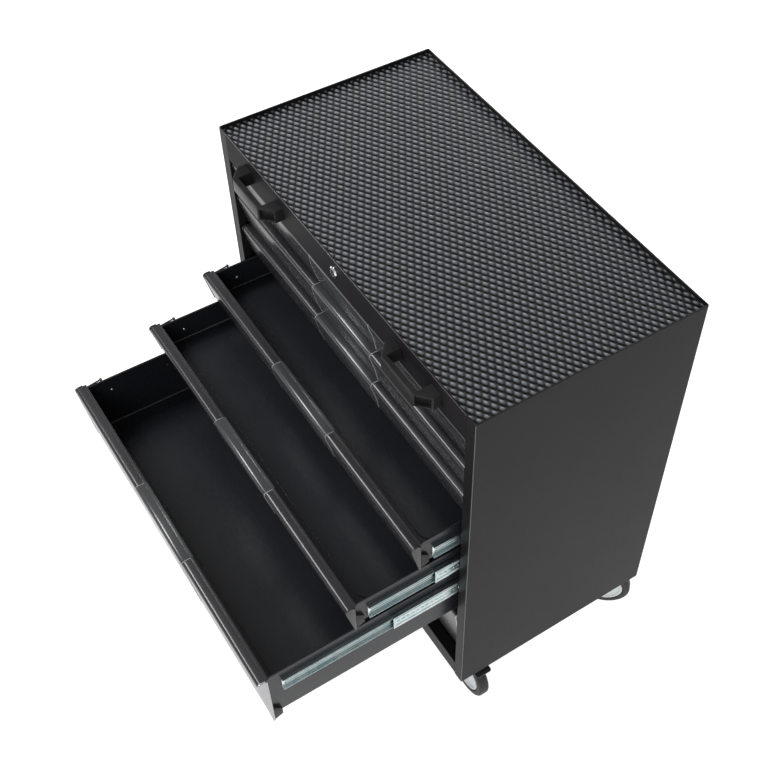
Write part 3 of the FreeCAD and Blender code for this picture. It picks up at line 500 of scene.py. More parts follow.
@dataclass(frozen=True)
class MatFinish:
    """Dark rubber mat whose colour is painted near-black in the pits as painted shade and light on
    the strands as a painted highlight.
    """

    name: str
    pit: tuple = (0.001, 0.001, 0.0011)
    strand: tuple = (0.168, 0.182, 0.2)
    low: float = 0.24
    high: float = 0.95
    roughness: float = 0.3
    pit_roughness: float = 0.6
    specular: float = 0.14
    dust: float = 0.08
    dust_tone: tuple = (0.16, 0.16, 0.155)
    relief: float = 0.7
    relief_depth: float = 0.0016
    skin: float = 0.12
    skin_depth: float = 0.0002

    def build(self, effects: Effects) -> bpy.types.Material:
        """Makes the material.

        Args:
            effects: The shared node groups.

        Returns:
            The finished material.
        """
        surface = Surface(self.name)
        height = surface.group(effects.weave)["Height"]
        grain = surface.group(effects.grain, Scale=1400.0, Patch=9.0)
        dust = surface.group(effects.dust, Scale=6.0)
        # colour by height: near-black in the pits is painted shade, the light strand crests a
        # painted highlight
        body = surface.blend(surface.span(height, self.low, self.high), self.pit, self.strand)
        relief = surface.bump(self.relief, self.relief_depth, height)
        return surface.close(
            Base_Color=surface.mark(dust["Dust"], self.dust, body, self.dust_tone),
            Roughness=surface.span(height, 0.2, 0.9, self.pit_roughness, self.roughness),
            Specular_IOR_Level=self.specular,
            Normal=surface.bump(self.skin, self.skin_depth, grain["Height"], Normal=relief))


FINISHES = {
    "cabinet_paint": PaintFinish("textured_cabinet_paint"),
    "front_paint": PaintFinish("satin_front_paint", dark=(0.015, 0.015, 0.0175),
                               light=(0.02, 0.0195, 0.0225), roughness=0.27, specular=0.5,
                               grain=0.0012, grain_scale=260.0, spread=(0.0, 0.02)),
    "rail_paint": PaintFinish("dull_rail_paint", dark=(0.0105, 0.0095, 0.011),
                              light=(0.0135, 0.012, 0.014), roughness=0.5, specular=0.04),
    "drawer_paint": PaintFinish("smooth_drawer_paint", dark=(0.01, 0.011, 0.0135),
                                light=(0.0125, 0.0135, 0.0165), roughness=0.27,
                                specular=0.26, wear_and_highlight=EdgeWearAndHighlight.NONE, dust=0.03, grain=0.015),
    # the trim's pale edge tone is a painted highlight along its seams
    "centre_trim": PaintFinish("smooth_trim_paint", dark=(0.03, 0.032, 0.034),
                               light=(0.036, 0.038, 0.04), roughness=0.25, specular=0.7,
                               edge_tone=(0.3, 0.3, 0.3), wear_and_highlight=EdgeWearAndHighlight.SOME, grain=0.0012,
                               grain_scale=260.0, spread=(0.0, 0.02)),
    # the handle's light grey edge tone is a painted highlight on its rims
    "handle_shell": MouldedFinish("glossy_handle_shell", dark=(0.014, 0.014, 0.015),
                                  light=(0.02, 0.02, 0.021), roughness=0.3, specular=0.12,
                                  edge_tone=(0.35, 0.35, 0.36), edge_width=0.0009),
    "mat_rubber": MatFinish("woven_mat_rubber"),
    "zinc_plate": PlateFinish("bright_zinc_plate"),
    "black_plastic": MouldedFinish("moulded_black_plastic", roughness=0.28),
    "corner_plastic": MouldedFinish("matt_corner_plastic", specular=0.25),
    "pedal_plastic": MouldedFinish("blue_black_pedal_plastic", dark=(0.008, 0.012, 0.016),
                                   light=(0.013, 0.018, 0.024), roughness=0.35,
                                   specular=0.3, edge_tone=(0.03, 0.035, 0.04)),
    "cap_steel": PlateFinish("satin_cap_steel", tone=(0.42, 0.42, 0.43),
                             tint=(0.36, 0.36, 0.37), low=0.3, high=0.44, spangle=0.3),
    "rivet_plate": PlateFinish("bright_rivet_plate", tone=(0.86, 0.88, 0.88),
                               tint=(0.76, 0.8, 0.8), low=0.3, high=0.42),
    # pale lips: a painted highlight along the trim's seams
    "painted_highlight_lip": MouldedFinish("pale_painted_highlight_lip", dark=(0.34, 0.34, 0.35), roughness=0.3,
                              light=(0.42, 0.42, 0.43), edge_tone=(0.5, 0.5, 0.5)),
    # lighter paint with pale edges: a painted highlight on folds and seams
    "painted_highlight_fold": PaintFinish("painted_highlight_fold_paint", dark=(0.05, 0.05, 0.052),
                             light=(0.08, 0.08, 0.082), roughness=0.3, specular=0.5,
                             wear_and_highlight=EdgeWearAndHighlight.SOME, edge_tone=(0.2, 0.2, 0.2)),
    "lock_chrome": PlateFinish("polished_lock_chrome", tone=(0.75, 0.76, 0.77), spangle=0.2,
                               tint=(0.7, 0.71, 0.72), low=0.08, high=0.16, lines=0.03),
    "rim_plastic": MouldedFinish("pale_rim_plastic", dark=(0.55, 0.59, 0.6),
                                 light=(0.66, 0.69, 0.7), edge_tone=(0.75, 0.77, 0.77)),
    "tyre_rubber": MouldedFinish("grey_tyre_rubber", dark=(0.018, 0.017, 0.018),
                                 light=(0.034, 0.032, 0.033), roughness=0.55,
                                 specular=0.35),
}


# Studio


def show(name: str, data: bpy.types.ID) -> bpy.types.Object:
    """Makes an object and puts it in the scene.

    Args:
        name: The object's name.
        data: Its mesh, camera or light.

    Returns:
        The object.
    """
    made = bpy.data.objects.new(name, data)
    bpy.context.scene.collection.objects.link(made)
    return made


@dataclass(frozen=True)
class Lamp:
    """One soft light: its place, the point it faces, its size and its watts."""

    name: str
    place: tuple
    aim: tuple
    size: tuple
    power: float

    def build(self) -> None:
        """Adds the light to the scene."""
        data = bpy.data.lights.new(self.name, "AREA")
        data.shape = "RECTANGLE"
        data.size, data.size_y = self.size
        data.energy = self.power
        lamp = show(self.name, data)
        lamp.location = self.place
        way = Vector(self.aim) - Vector(self.place)
        lamp.rotation_euler = way.to_track_quat("-Z", "Y").to_euler()


LAMPS = (Lamp("nose_strip", (-1.5, -1.5, 3.2), (0, -0.3, 0.7), (1.6, 0.8), 75.0),
         Lamp("right_fill", (2.6, -1.8, 2.4), (0, -0.2, 0.7), (1.5, 1.5), 42.0),
         Lamp("back_strip", (-2.4, 2.4, 2.1), (0, 0.1, 1.0), (1.6, 1.2), 95.0))


@dataclass
class Studio:
    """Pale floor, soft lights and the camera of the photograph."""

    front: float
    lens: float = 55.35
    sensor: float = 36.0
    shift: tuple = (-0.0786, 0.0312)
    offset: tuple = (1.4186, -0.7269, 2.6018)
    azimuth: float = 54.84
    elevation: float = 51.22
    roll: float = 1.81
    floor_size: float = 30.0
    floor_tone: tuple = (0.35, 0.35, 0.35, 1.0)
    floor_roughness: float = 0.9
    floor_glow: float = 0.9
    white: tuple = (1.0, 1.0, 1.0, 1.0)
    world_strength: float = 0.42

    def camera(self) -> None:
        """Places the camera by its angles and its offset from the front posts."""
        turn, fall, roll = (math.radians(a) for a in (self.azimuth, self.elevation, self.roll))
        ahead = Vector((-math.sin(turn) * math.cos(fall), math.cos(turn) * math.cos(fall),
                        -math.sin(fall)))
        level = ahead.cross(Vector((0, 0, 1))).normalized()
        upright = level.cross(ahead)
        right = level * math.cos(roll) + upright * math.sin(roll)
        up = upright * math.cos(roll) - level * math.sin(roll)
        data = bpy.data.cameras.new("studio_camera")
        data.sensor_fit = "HORIZONTAL"
        data.sensor_width = self.sensor
        data.lens = self.lens
        data.shift_x, data.shift_y = self.shift
        camera = show("studio_camera", data)
        basis = Matrix((right, up, -ahead)).transposed().to_4x4()
        place = Vector(self.offset) + Vector((0, self.front, 0))
        camera.matrix_world = Matrix.Translation(place) @ basis
        bpy.context.scene.camera = camera

    def floor(self) -> None:
        """Lays the pale floor just under the wheels."""
        shape = bmesh.new()
        bmesh.ops.create_grid(shape, x_segments=1, y_segments=1, size=self.floor_size / 2)
        mesh = bpy.data.meshes.new("studio_floor")
        shape.to_mesh(mesh)
        shape.free()
        floor = show("studio_floor", mesh)
        mesh.materials.append(Surface("studio_floor").close(
            Base_Color=self.floor_tone, Roughness=self.floor_roughness,
            Emission_Color=self.white, Emission_Strength=self.floor_glow))

    def build(self) -> None:
        """Makes the camera, the floor, the lights and the world."""
        self.camera()
        self.floor()
        for lamp in LAMPS:
            lamp.build()
        world = bpy.data.worlds.new("studio_world")
        bpy.context.scene.world = world
        world.use_nodes = True
        Graph(world.node_tree).feed(world.node_tree.nodes["Background"], Color=self.white,
                                    Strength=self.world_strength)
        bpy.context.scene.view_settings.view_transform = "Standard"


# Mesh making


class Plane(Enum):
    """The plane an outline is drawn in; its first axis, second axis and normal."""

    XY = (0, 1, 2)
    YZ = (1, 2, 0)


@dataclass(frozen=True)
class Corner:
    """One corner of an outline, in metres, rounded by a radius."""

    first: float
    second: float
    radius: float = 0.0


def aimed(place: Sequence[float], way: Vector) -> Matrix:
    """Placement at a point, with its Z along a direction."""
    return Matrix.Translation(place) @ way.to_track_quat("Z", "Y").to_matrix().to_4x4()


def mirrored(side: Sequence[tuple]) -> list:
    """Closes a lathe's half profile with its mirror image across the middle."""
    return [*side, *((radius, -height) for radius, height in reversed(side)), side[0]]


class Shape:
    """A bmesh that is drawn, cut and rounded before it becomes a piece."""

    def __init__(self) -> None:
        """Starts with an empty mesh."""
        self.bm = bmesh.new()

    def prism(self, plane: Plane, start: float, end: float,
              corners: Sequence[Corner], segments: int = 5) -> list:
        """Draws a closed outline, rounds its corners and extrudes it.

        Args:
            plane: The plane of the outline.
            start: Place of the first end along the plane's normal.
            end: Place of the other end.
            corners: The outline's corners, in turn.
            segments: Steps of each rounded corner.

        Returns:
            The vertices of the prism.
        """
        before = set(self.bm.verts)
        first, second, normal = plane.value
        made = []
        for corner in corners:
            where = [0.0, 0.0, 0.0]
            where[first], where[second], where[normal] = corner.first, corner.second, start
            made.append(self.bm.verts.new(where))
        self.bm.faces.new(made)
        for corner, vertex in zip(corners, made):
            if corner.radius > 0:
                reach = corner.radius / math.tan(self._half_angle(vertex))
                bmesh.ops.bevel(self.bm, geom=[vertex], affect="VERTICES", offset=reach,
                                offset_type="OFFSET", segments=segments, profile=0.5,
                                material=-1)
        face = next(f for f in self.bm.faces if not set(f.verts) & before)
        grown = bmesh.ops.extrude_face_region(self.bm, geom=[face])
        moved = [v for v in grown["geom"] if isinstance(v, bmesh.types.BMVert)]
        step = Vector((0, 0, 0))
        step[normal] = end - start
        bmesh.ops.translate(self.bm, verts=moved, vec=step)
        return [v for v in self.bm.verts if v not in before]

    @staticmethod
    def _half_angle(vertex: bmesh.types.BMVert) -> float:
        """Half the inner angle between a vertex's two edges, at least 0.05."""
        ways = [(e.other_vert(vertex).co - vertex.co).normalized() for e in vertex.link_edges]
        return max(ways[0].angle(ways[1]) / 2, 0.05)

    def block(self, start: Sequence[float], end: Sequence[float], bevel: float,
              segments: int = 2) -> None:
        """Adds a box between two opposite corners, with bevelled edges.

        Args:
            start: One corner.
            end: The corner opposite.
            bevel: Width of the bevel.
            segments: Steps of the bevel.
        """
        made = bmesh.ops.create_cube(self.bm, size=1.0)["verts"]
        low, high = (Vector([pick(pair) for pair in zip(start, end)]) for pick in (min, max))
        bmesh.ops.scale(self.bm, verts=made, vec=high - low)
        bmesh.ops.translate(self.bm, verts=made, vec=(high + low) / 2)
        self.bevel({e for v in made for e in v.link_edges}, bevel, segments)

    def bevel(self, edges: Iterable, width: float, segments: int = 2) -> None:
        """Rounds edges.

        Args:
            edges: The edges.
            width: Width of the bevel.
            segments: Steps of the bevel.
        """
        bmesh.ops.bevel(self.bm, geom=list(edges), affect="EDGES", offset=width,
                        offset_type="OFFSET", segments=segments, profile=0.5,
                        clamp_overlap=True, material=-1)

    def orient(self) -> None:
        """Works the normals out again, so that they point outwards."""
        bmesh.ops.recalc_face_normals(self.bm, faces=self.bm.faces)

    def bevel_sharp(self, width: float, segments: int,
                    test: Callable[[Vector], bool] = lambda place: True) -> None:
        """Rounds the edges that turn by more than 60 degrees.

        Args:
            width: Width of the bevel.
            segments: Steps of the bevel.
            test: Says of a place whether an edge may end there.
        """
        self.orient()
        self.bevel([e for e in self.bm.edges if e.calc_face_angle(0) > SHARP
                    and all(test(v.co) for v in e.verts)], width, segments)

    def lathe(self, profile: Sequence[tuple], frame: Matrix, steps: int = 48) -> None:
        """Turns a profile of (radius, height) points round the Z of a frame.

        Args:
            profile: Points of the profile, from one pole or rim to the other.
            frame: Placement of the turned shape.
            steps: Steps of the full turn.
        """
        before = set(self.bm.verts)
        made = [self.bm.verts.new((radius, 0, height)) for radius, height in profile]
        edges = [self.bm.edges.new(pair) for pair in zip(made, made[1:])]
        bmesh.ops.spin(self.bm, geom=made + edges, cent=(0, 0, 0), axis=(0, 0, 1),
                       angle=2 * math.pi, steps=steps, use_merge=True, use_duplicate=False)
        grown = [v for v in self.bm.verts if v not in before]
        bmesh.ops.remove_doubles(self.bm, verts=grown, dist=WELD)
        grown = [v for v in self.bm.verts if v not in before]
        faces = list({f for v in grown for f in v.link_faces})
        bmesh.ops.recalc_face_normals(self.bm, faces=faces)
        bmesh.ops.transform(self.bm, matrix=frame, verts=grown)

    def rod(self, start: Sequence[float], end: Sequence[float], radius: float,
            steps: int, bevel: float) -> None:
        """Adds a closed cylinder between two points.

        Args:
            start: Middle of one end.
            end: Middle of the other end.
            radius: Its radius.
            steps: Steps of the full turn.
            bevel: Width of the bevel at both ends.
        """
        way = Vector(end) - Vector(start)
        length = way.length
        self.lathe([(0, 0), (radius - bevel, 0), (radius, bevel), (radius, length - bevel),
                    (radius - bevel, length), (0, length)], aimed(start, way), steps)


@dataclass
class Workshop:
    """What every sub-assembly needs: the frame and the finishes."""

    frame: dict
    materials: dict

    def joint(self, name: str) -> dict:
        """The frame's joint of that name."""
        return next(j for j in self.frame["joints"] if j["name"] == name)

    def piece(self, shape: Shape, name: str, slot: str, body: str,
              replaces: Sequence[str] = (), smooth: float = 35.0, finish: str = "") -> None:
        """Closes a shape and makes it a piece that rides on a body.

        Args:
            shape: The shape.
            name: The piece's name.
            slot: Name of the slot whose finish it wears.
            body: The body it moves with.
            replaces: Frame nodes that it stands for.
            smooth: Angle in degrees above which an edge stays sharp.
            finish: Name of a finish that it wears in place of the slot's.
        """
        shape.orient()
        mesh = bpy.data.meshes.new(name)
        shape.bm.to_mesh(mesh)
        shape.bm.free()
        mesh.shade_smooth()
        mesh.set_sharp_from_angle(angle=math.radians(smooth))
        mesh.materials.append(self.materials[finish or slot])
        made = show(name, mesh)
        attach(made, body)
        if replaces:
            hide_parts(*replaces)
        LOG.info("%s: %d faces on %s", name, len(mesh.polygons), body)


# Sub-assemblies


@dataclass
class TopMat:
    """The rubber mat of raised strands round staggered dimples."""

    shop: Workshop
    steps: int = 8
    dimple: float = 3.4 * MM
    border: float = 3.0 * MM

    def build(self) -> None:
        """Makes the mat inside its node's box."""
        low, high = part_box("top_mat")
        size, shape = high - low, Shape()
        grid = bmesh.ops.create_grid(
            shape.bm, x_segments=round(size.x / WEAVE.pitch_x * self.steps),
            y_segments=round(size.y / WEAVE.pitch_y * self.steps), size=0.5)["verts"]
        bmesh.ops.scale(shape.bm, verts=grid, vec=(size.x, size.y, 1))
        bmesh.ops.translate(shape.bm, verts=grid,
                            vec=((low.x + high.x) / 2, (low.y + high.y) / 2, high.z))
        for vertex in grid:
            x, y = vertex.co.xy
            edge = min(x - low.x, high.x - x, y - low.y, high.y - y)
            fade = min(1.0, max(0.0, edge / self.border))
            vertex.co.z -= self.dimple * WEAVE.depth(x, y) * fade
        rim = [e for e in shape.bm.edges if e.is_boundary]
        skirt = bmesh.ops.extrude_edge_only(shape.bm, edges=rim)["geom"]
        for vertex in skirt:
            if isinstance(vertex, bmesh.types.BMVert):
                vertex.co.z = low.z
        self.shop.piece(shape, "ribbed_top_mat", "mat_rubber", "cabinet", ["top_mat"],
                        smooth=80.0)


@dataclass
class DrawerPart:
    """What the dressings of one drawer share, with the place of its front."""

    shop: Workshop
    number: int
    box_half: float = 417.3 * MM
    latch_reach: float = 42.0 * MM

    def __post_init__(self) -> None:
        """Reads the bottom, top and back of the drawer's front from the frame."""
        low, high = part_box(f"drawer_{self.number}_front")
        self.bottom, self.top, self.back = low.z, high.z, high.y - self.latch_reach

    def piece(self, shape: Shape, name: str, slot: str, **options: object) -> None:
        """Makes a piece that rides on the drawer."""
        self.shop.piece(shape, name, slot, f"drawer_{self.number}", **options)


@dataclass
class DrawerFront(DrawerPart):
    """One wedge front: painted skin, centre trim, end caps and latch rod."""

    depth: float = 23.0 * MM
    foot_depth: float = 4.6 * MM
    nose: float = 8.0 * MM
    back_round: float = 1.0 * MM
    foot_round: float = 1.6 * MM
    heel_round: float = 0.6 * MM
    arc: int = 8
    half: float = 424.5 * MM
    cap: float = 3.0 * MM
    cap_edge: float = 2.2 * MM
    tall: float = 120.0 * MM
    notch: float = 4.0 * MM
    trim_half: float = 107.5 * MM
    trim_rise: float = 1.1 * MM
    trim_sway: float = 7.0 * MM
    trim_cuts: int = 14
    trim_edge: float = 0.6 * MM
    trim_lap: float = 0.6 * MM
    hem: float = 4.5 * MM
    hem_steel: float = 1.4 * MM
    hem_edge: float = 0.5 * MM
    lap: float = 1.0 * MM
    lip: float = 0.8 * MM
    lip_rise: float = 0.15 * MM
    block_width: float = 6.5 * MM
    block_rise: float = 4.0 * MM
    block_height: float = 46.0 * MM
    block_depth: float = 18.0 * MM
    block_taper: float = 7.0 * MM
    block_slope: float = 16.0 * MM
    block_round: float = 1.5 * MM
    block_edge: float = 1.2 * MM
    latch_start: float = 11.0 * MM
    latch_end: float = 5.0 * MM
    latch_radius: float = 1.9 * MM
    latch_gap: float = 0.2 * MM
    knob: float = 4.0 * MM
    knob_share: float = 0.85

    def __post_init__(self) -> None:
        """Reads the front's place, and works out that of its nose."""
        super().__post_init__()
        self.tip = self.back - self.depth

    def build(self) -> None:
        """Makes every piece of the front."""
        self._skin()
        self._trim()
        self._caps()
        self._latch()

    def _part(self, shape: Shape, name: str, slot: str, **options: object) -> None:
        """Makes a piece named after the front."""
        self.piece(shape, f"front_{self.number}_{name}", slot, **options)

    def _section(self, grow: float = 0.0) -> list:
        """Draws the wedge's section in the YZ plane.

        Args:
            grow: How far the top and the face stand out.

        Returns:
            The section's corners.
        """
        top, foot = self.top + grow, self.back - self.foot_depth - grow
        return [Corner(self.back, top, self.back_round), Corner(self.tip - grow, top, self.nose),
                Corner(foot, self.bottom, self.foot_round),
                Corner(self.back, self.bottom, self.heel_round)]

    def _skin(self) -> None:
        """Makes the folded and painted skin between the end caps."""
        shape, end, level = Shape(), self.half - self.cap, self.top - self.trim_rise
        shape.prism(Plane.YZ, -end, end, self._section(-self.trim_rise), self.arc)
        shape.block((-end, self.back - self.lap, level - self.hem_steel),
                    (end, self.back + self.hem, level), self.hem_edge)
        self._part(shape, "skin", "front_paint", replaces=[f"drawer_{self.number}_front"],
                   smooth=30.0)

    def _wrap(self, shape: Shape, start: float, end: float, corners: Sequence[Corner]) -> None:
        """Draws part of the trim, with its ends bowed as the seams are.

        Args:
            shape: The shape that it is drawn in.
            start: X of one end at the top.
            end: X of the other end.
            corners: The section in the YZ plane.
        """
        made = shape.prism(Plane.YZ, start, end, corners, self.arc)
        top, bottom = (pick(v.co.z for v in made) for pick in (max, min))
        for i in range(1, self.trim_cuts):
            level = bottom + (top - bottom) * i / self.trim_cuts
            edges = {e for v in made for e in v.link_edges}
            faces = {f for v in made for f in v.link_faces}
            cut = bmesh.ops.bisect_plane(shape.bm, geom=[*made, *edges, *faces],
                                         plane_co=(0, 0, level), plane_no=(0, 0, 1))
            made += [v for v in cut["geom_cut"]
                     if isinstance(v, bmesh.types.BMVert) and v not in made]
        for vertex in made:
            along = (top - vertex.co.z) / (top - bottom)
            way = 1 if vertex.co.x > 0 else -1
            vertex.co.x += way * self.trim_sway * math.sin(math.pi * along) ** 2

    def _trim(self) -> None:
        """Makes the smooth centre trim that wraps over the nose, and its lips; the trim's edges
        and the lips are pale as a painted highlight along the seams.
        """
        shape, half = Shape(), self.trim_half
        self._wrap(shape, -half, half, self._section(-self.lip_rise))
        reach = self.trim_sway + self.lap
        shape.bevel_sharp(self.trim_edge, 2, lambda place: abs(abs(place.x) - half) < reach)
        shape.block((-half, self.back - self.lap, self.top - self.hem_steel - self.trim_rise),
                    (half, self.back + self.hem + self.trim_lap, self.top), self.hem_edge)
        self._part(shape, "trim", "front_paint", smooth=30.0, finish="centre_trim")
        lips = Shape()
        for side in SIDES:
            self._wrap(lips, side * half, side * (half + self.lip), self._section())
        # the lips' pale colour is a painted highlight
        self._part(lips, "painted_highlight_lips", "front_paint", smooth=30.0, finish="painted_highlight_lip")

    def _caps(self) -> None:
        """Makes the end caps, with the moulded corner blocks behind them."""
        caps, blocks, back, top = Shape(), Shape(), self.back, self.top
        rear, low = back + self.block_depth, self.bottom + self.block_rise
        high, notch = low + self.block_height, self.notch
        outline = [Corner(back - notch, top), Corner(self.tip, top, self.nose),
                   Corner(back - self.foot_depth, self.bottom, self.foot_round),
                   Corner(back, self.bottom), Corner(back, top - notch),
                   Corner(back - notch, top - notch)]
        block = [Corner(back, low), Corner(rear, low + self.block_taper, self.block_round),
                 Corner(rear, high - self.block_slope, self.block_round), Corner(back, high)]
        outer = self.box_half + self.block_width
        for side in SIDES:
            caps.prism(Plane.YZ, side * (self.half - self.cap), side * self.half, outline,
                       self.arc)
            blocks.prism(Plane.YZ, side * self.box_half, side * outer, block, 3)
        for shape, face, width, segments in ((caps, self.half, self.cap_edge, 4),
                                             (blocks, outer, self.block_edge, 2)):
            shape.bevel_sharp(width, segments,
                              lambda place, face=face: abs(abs(place.x) - face) < 0.1 * MM)
        steel = top - self.bottom > self.tall
        self._part(caps, "end_caps", "front_paint", smooth=30.0,
                   finish="cap_steel" if steel else "black_plastic")
        self._part(blocks, "corner_blocks", "black_plastic", smooth=30.0,
                   finish="corner_plastic")

    def _latch(self) -> None:
        """Makes the latch rod at the left, which rises to its knob."""
        shape, side = Shape(), -self.box_half - self.knob - self.latch_gap
        start = Vector((side, self.back, self.top - self.latch_start))
        way = Vector((side, self.back + self.latch_reach - self.knob,
                      self.top - self.latch_end)) - start
        rod, knob, reach = self.latch_radius, self.knob * self.knob_share, way.length
        neck, root = reach - knob, -self.lap
        shape.lathe([(0, root), (rod, root), (rod, neck), (knob * 0.7, neck + 0.3 * MM),
                     (knob, reach - 1.2 * MM), (knob, reach + 0.8 * MM),
                     (knob * 0.7, reach + knob * 0.7), (0, reach + knob)], aimed(start, way), 18)
        self._part(shape, "latch_rod", "black_plastic", smooth=40.0)


@dataclass
class DrawerFixings(DrawerPart):
    """Rivets, fasteners and the folded floor seams inside one drawer box, the seams painted light
    as a painted highlight.
    """

    rivet_radius: float = 3.8 * MM
    rivet_rise: float = 2.0 * MM
    rivet_root: float = -0.2 * MM
    rivet_drop: float = 44.0 * MM
    rivet_places: tuple = (54.0 * MM,)
    fastener_places: tuple = (190.0 * MM, 405.0 * MM)
    steel: float = 1.2 * MM
    seam: float = 1.4 * MM
    seam_edge: float = 0.4 * MM
    end_gap: float = 2.0 * MM

    def build(self) -> None:
        """Makes the rivets, fasteners and seams."""
        low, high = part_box(f"drawer_{self.number}_box")
        inner, floor = self.box_half - self.steel, low.z + self.steel
        rivets, fasteners, seams = Shape(), Shape(), Shape()
        radius, rise, root = self.rivet_radius, self.rivet_rise, self.rivet_root
        head = [(0, rise), (radius * 0.5, rise * 0.93), (radius * 0.85, rise * 0.6),
                (radius, rise * 0.15), (radius, root), (0, root)]
        for side in SIDES:
            turn = Matrix.Rotation(math.radians(-90 * side), 4, "Y")
            for shape, places in ((rivets, self.rivet_places), (fasteners, self.fastener_places)):
                for along in places:
                    place = (side * inner, self.back + along, self.top - self.rivet_drop)
                    shape.lathe(head, Matrix.Translation(place) @ turn, 14)
            seams.rod((side * inner, low.y + self.end_gap, floor),
                      (side * inner, high.y - self.end_gap, floor), self.seam, 16,
                      self.seam_edge)
        name = f"drawer_{self.number}"
        self.piece(rivets, f"{name}_rivets", "zinc_plate", smooth=40.0, finish="rivet_plate")
        self.piece(fasteners, f"{name}_fasteners", "black_plastic", smooth=40.0)
        # the seam beads wear the lighter fold paint as a painted highlight
        self.piece(seams, f"{name}_floor_seam_highlights", "drawer_paint", smooth=40.0,
                   finish="painted_highlight_fold")


@dataclass
class RunnerRibs(DrawerPart):
    """The pressed ribs and cage pads of one drawer's telescopic members."""

    inner_face: float = 418.4 * MM
    inner_rise: float = 1.2 * MM
    inner_start: float = 7.0 * MM
    inner_end: float = 3.0 * MM
    inner_levels: tuple = (-7.5 * MM, 0.0, 7.5 * MM)
    rib: float = 2.6 * MM
    rib_edge: float = 0.7 * MM
    tab: float = 5.0 * MM
    tab_half: float = 15.0 * MM
    middle_face: float = 427.5 * MM
    middle_rise: float = 1.0 * MM
    middle_end: float = 4.0 * MM
    middle_levels: tuple = (-13.0 * MM, 13.0 * MM)
    edge: float = 0.4 * MM
    pads: int = 14
    pad_step: float = 11.0 * MM
    pad_start: float = 8.0 * MM
    pad_length: float = 6.5 * MM
    pad_half: float = 3.2 * MM

    def build(self) -> None:
        """Makes the ribs on both sides."""
        self._inner()
        self._middle()

    def _inner(self) -> None:
        """Makes three long ribs on the web of the drawer's own member, and its tabs."""
        low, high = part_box(f"drawer_{self.number}_inner_runners")
        level, shape, tabs = (low.z + high.z) / 2, Shape(), Shape()
        for side in SIDES:
            face, crest = side * self.inner_face, side * (self.inner_face + self.inner_rise)
            for rise in self.inner_levels:
                middle = level + rise
                shape.block((face, low.y + self.inner_start, middle - self.rib / 2),
                            (crest, high.y - self.inner_end, middle + self.rib / 2),
                            self.rib_edge)
            tabs.block((face, low.y, level - self.tab_half),
                       (crest, low.y + self.tab, level + self.tab_half), self.edge)
        name = f"drawer_{self.number}"
        self.piece(shape, f"{name}_inner_ribs", "zinc_plate")
        self.piece(tabs, f"{name}_runner_tabs", "zinc_plate", finish="rivet_plate")

    def _middle(self) -> None:
        """Makes two ribs and a row of cage pads on the middle member."""
        low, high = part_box(f"drawer_{self.number}_middle_runners")
        level, shape = (low.z + high.z) / 2, Shape()
        for side in SIDES:
            face, crest = side * self.middle_face, side * (self.middle_face + self.middle_rise)
            for rise in self.middle_levels:
                shape.block((face, low.y + self.middle_end, level + rise - self.rib),
                            (crest, high.y - self.middle_end, level + rise + self.rib),
                            self.edge)
            for i in range(self.pads):
                start = low.y + self.pad_start + i * self.pad_step
                shape.block((face, start, level - self.pad_half),
                            (crest, start + self.pad_length, level + self.pad_half),
                            self.edge, 1)
        self.shop.piece(shape, f"drawer_{self.number}_middle_ribs", "zinc_plate",
                        f"middle_{self.number}")


@dataclass
class PullHandle:
    """One moulded pull handle on the top rail, with a pocket in each slanted end; its light rims
    are a painted highlight.
    """

    shop: Workshop
    side: str
    base: float = 156.0 * MM
    bar: float = 102.0 * MM
    grip: float = 96.0 * MM
    bar_depth: float = 12.0 * MM
    foot: float = 15.0 * MM
    rim: float = 1.9 * MM
    pocket: float = 11.0 * MM
    taper: float = 0.3 * MM
    edge: float = 1.6 * MM
    rim_edge: float = 0.45 * MM
    slant: float = 0.3
    fold: float = 0.5

    def build(self) -> None:
        """Makes the handle."""
        low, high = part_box(f"pull_handle_{self.side}")
        middle, foot, grip = (low.x + high.x) / 2, high.y - self.foot, low.y + self.bar_depth
        half = [(self.bar, low.y), (self.base, foot), (self.base, high.y),
                (self.grip, high.y), (self.grip, grip)]
        outline = [(width / 2, y) for width, y in half]
        outline += [(-width / 2, y) for width, y in reversed(half)]
        shape = Shape()
        shape.prism(Plane.XY, low.z, high.z, [Corner(middle + x, y) for x, y in outline])
        bm = shape.bm
        shape.orient()
        slants = [f for f in bm.faces
                  if abs(f.normal.x) > self.slant and f.normal.y < -self.slant]
        rails = [e for e in bm.edges if not any(f in slants for f in e.link_faces)
                 and not all(abs(v.co.y - high.y) < 0.1 * MM for v in e.verts)]
        frames = [e for f in slants for e in f.edges]
        inner = bmesh.ops.inset_individual(bm, faces=slants, thickness=self.rim + self.edge,
                                           depth=0.0, use_even_offset=True)
        bmesh.ops.inset_individual(bm, faces=slants, thickness=self.taper,
                                   depth=-self.pocket, use_even_offset=True)
        mouths = {e for f in inner["faces"] for e in f.edges
                  if e.is_valid and e not in frames and e.calc_face_angle(0) > self.fold}
        shape.bevel(mouths, self.rim_edge)
        shape.bevel([e for e in rails + frames if e.is_valid], self.edge, 3)
        self.shop.piece(shape, f"handle_{self.side}", "black_plastic", "cabinet",
                        [f"pull_handle_{self.side}"], finish="handle_shell")


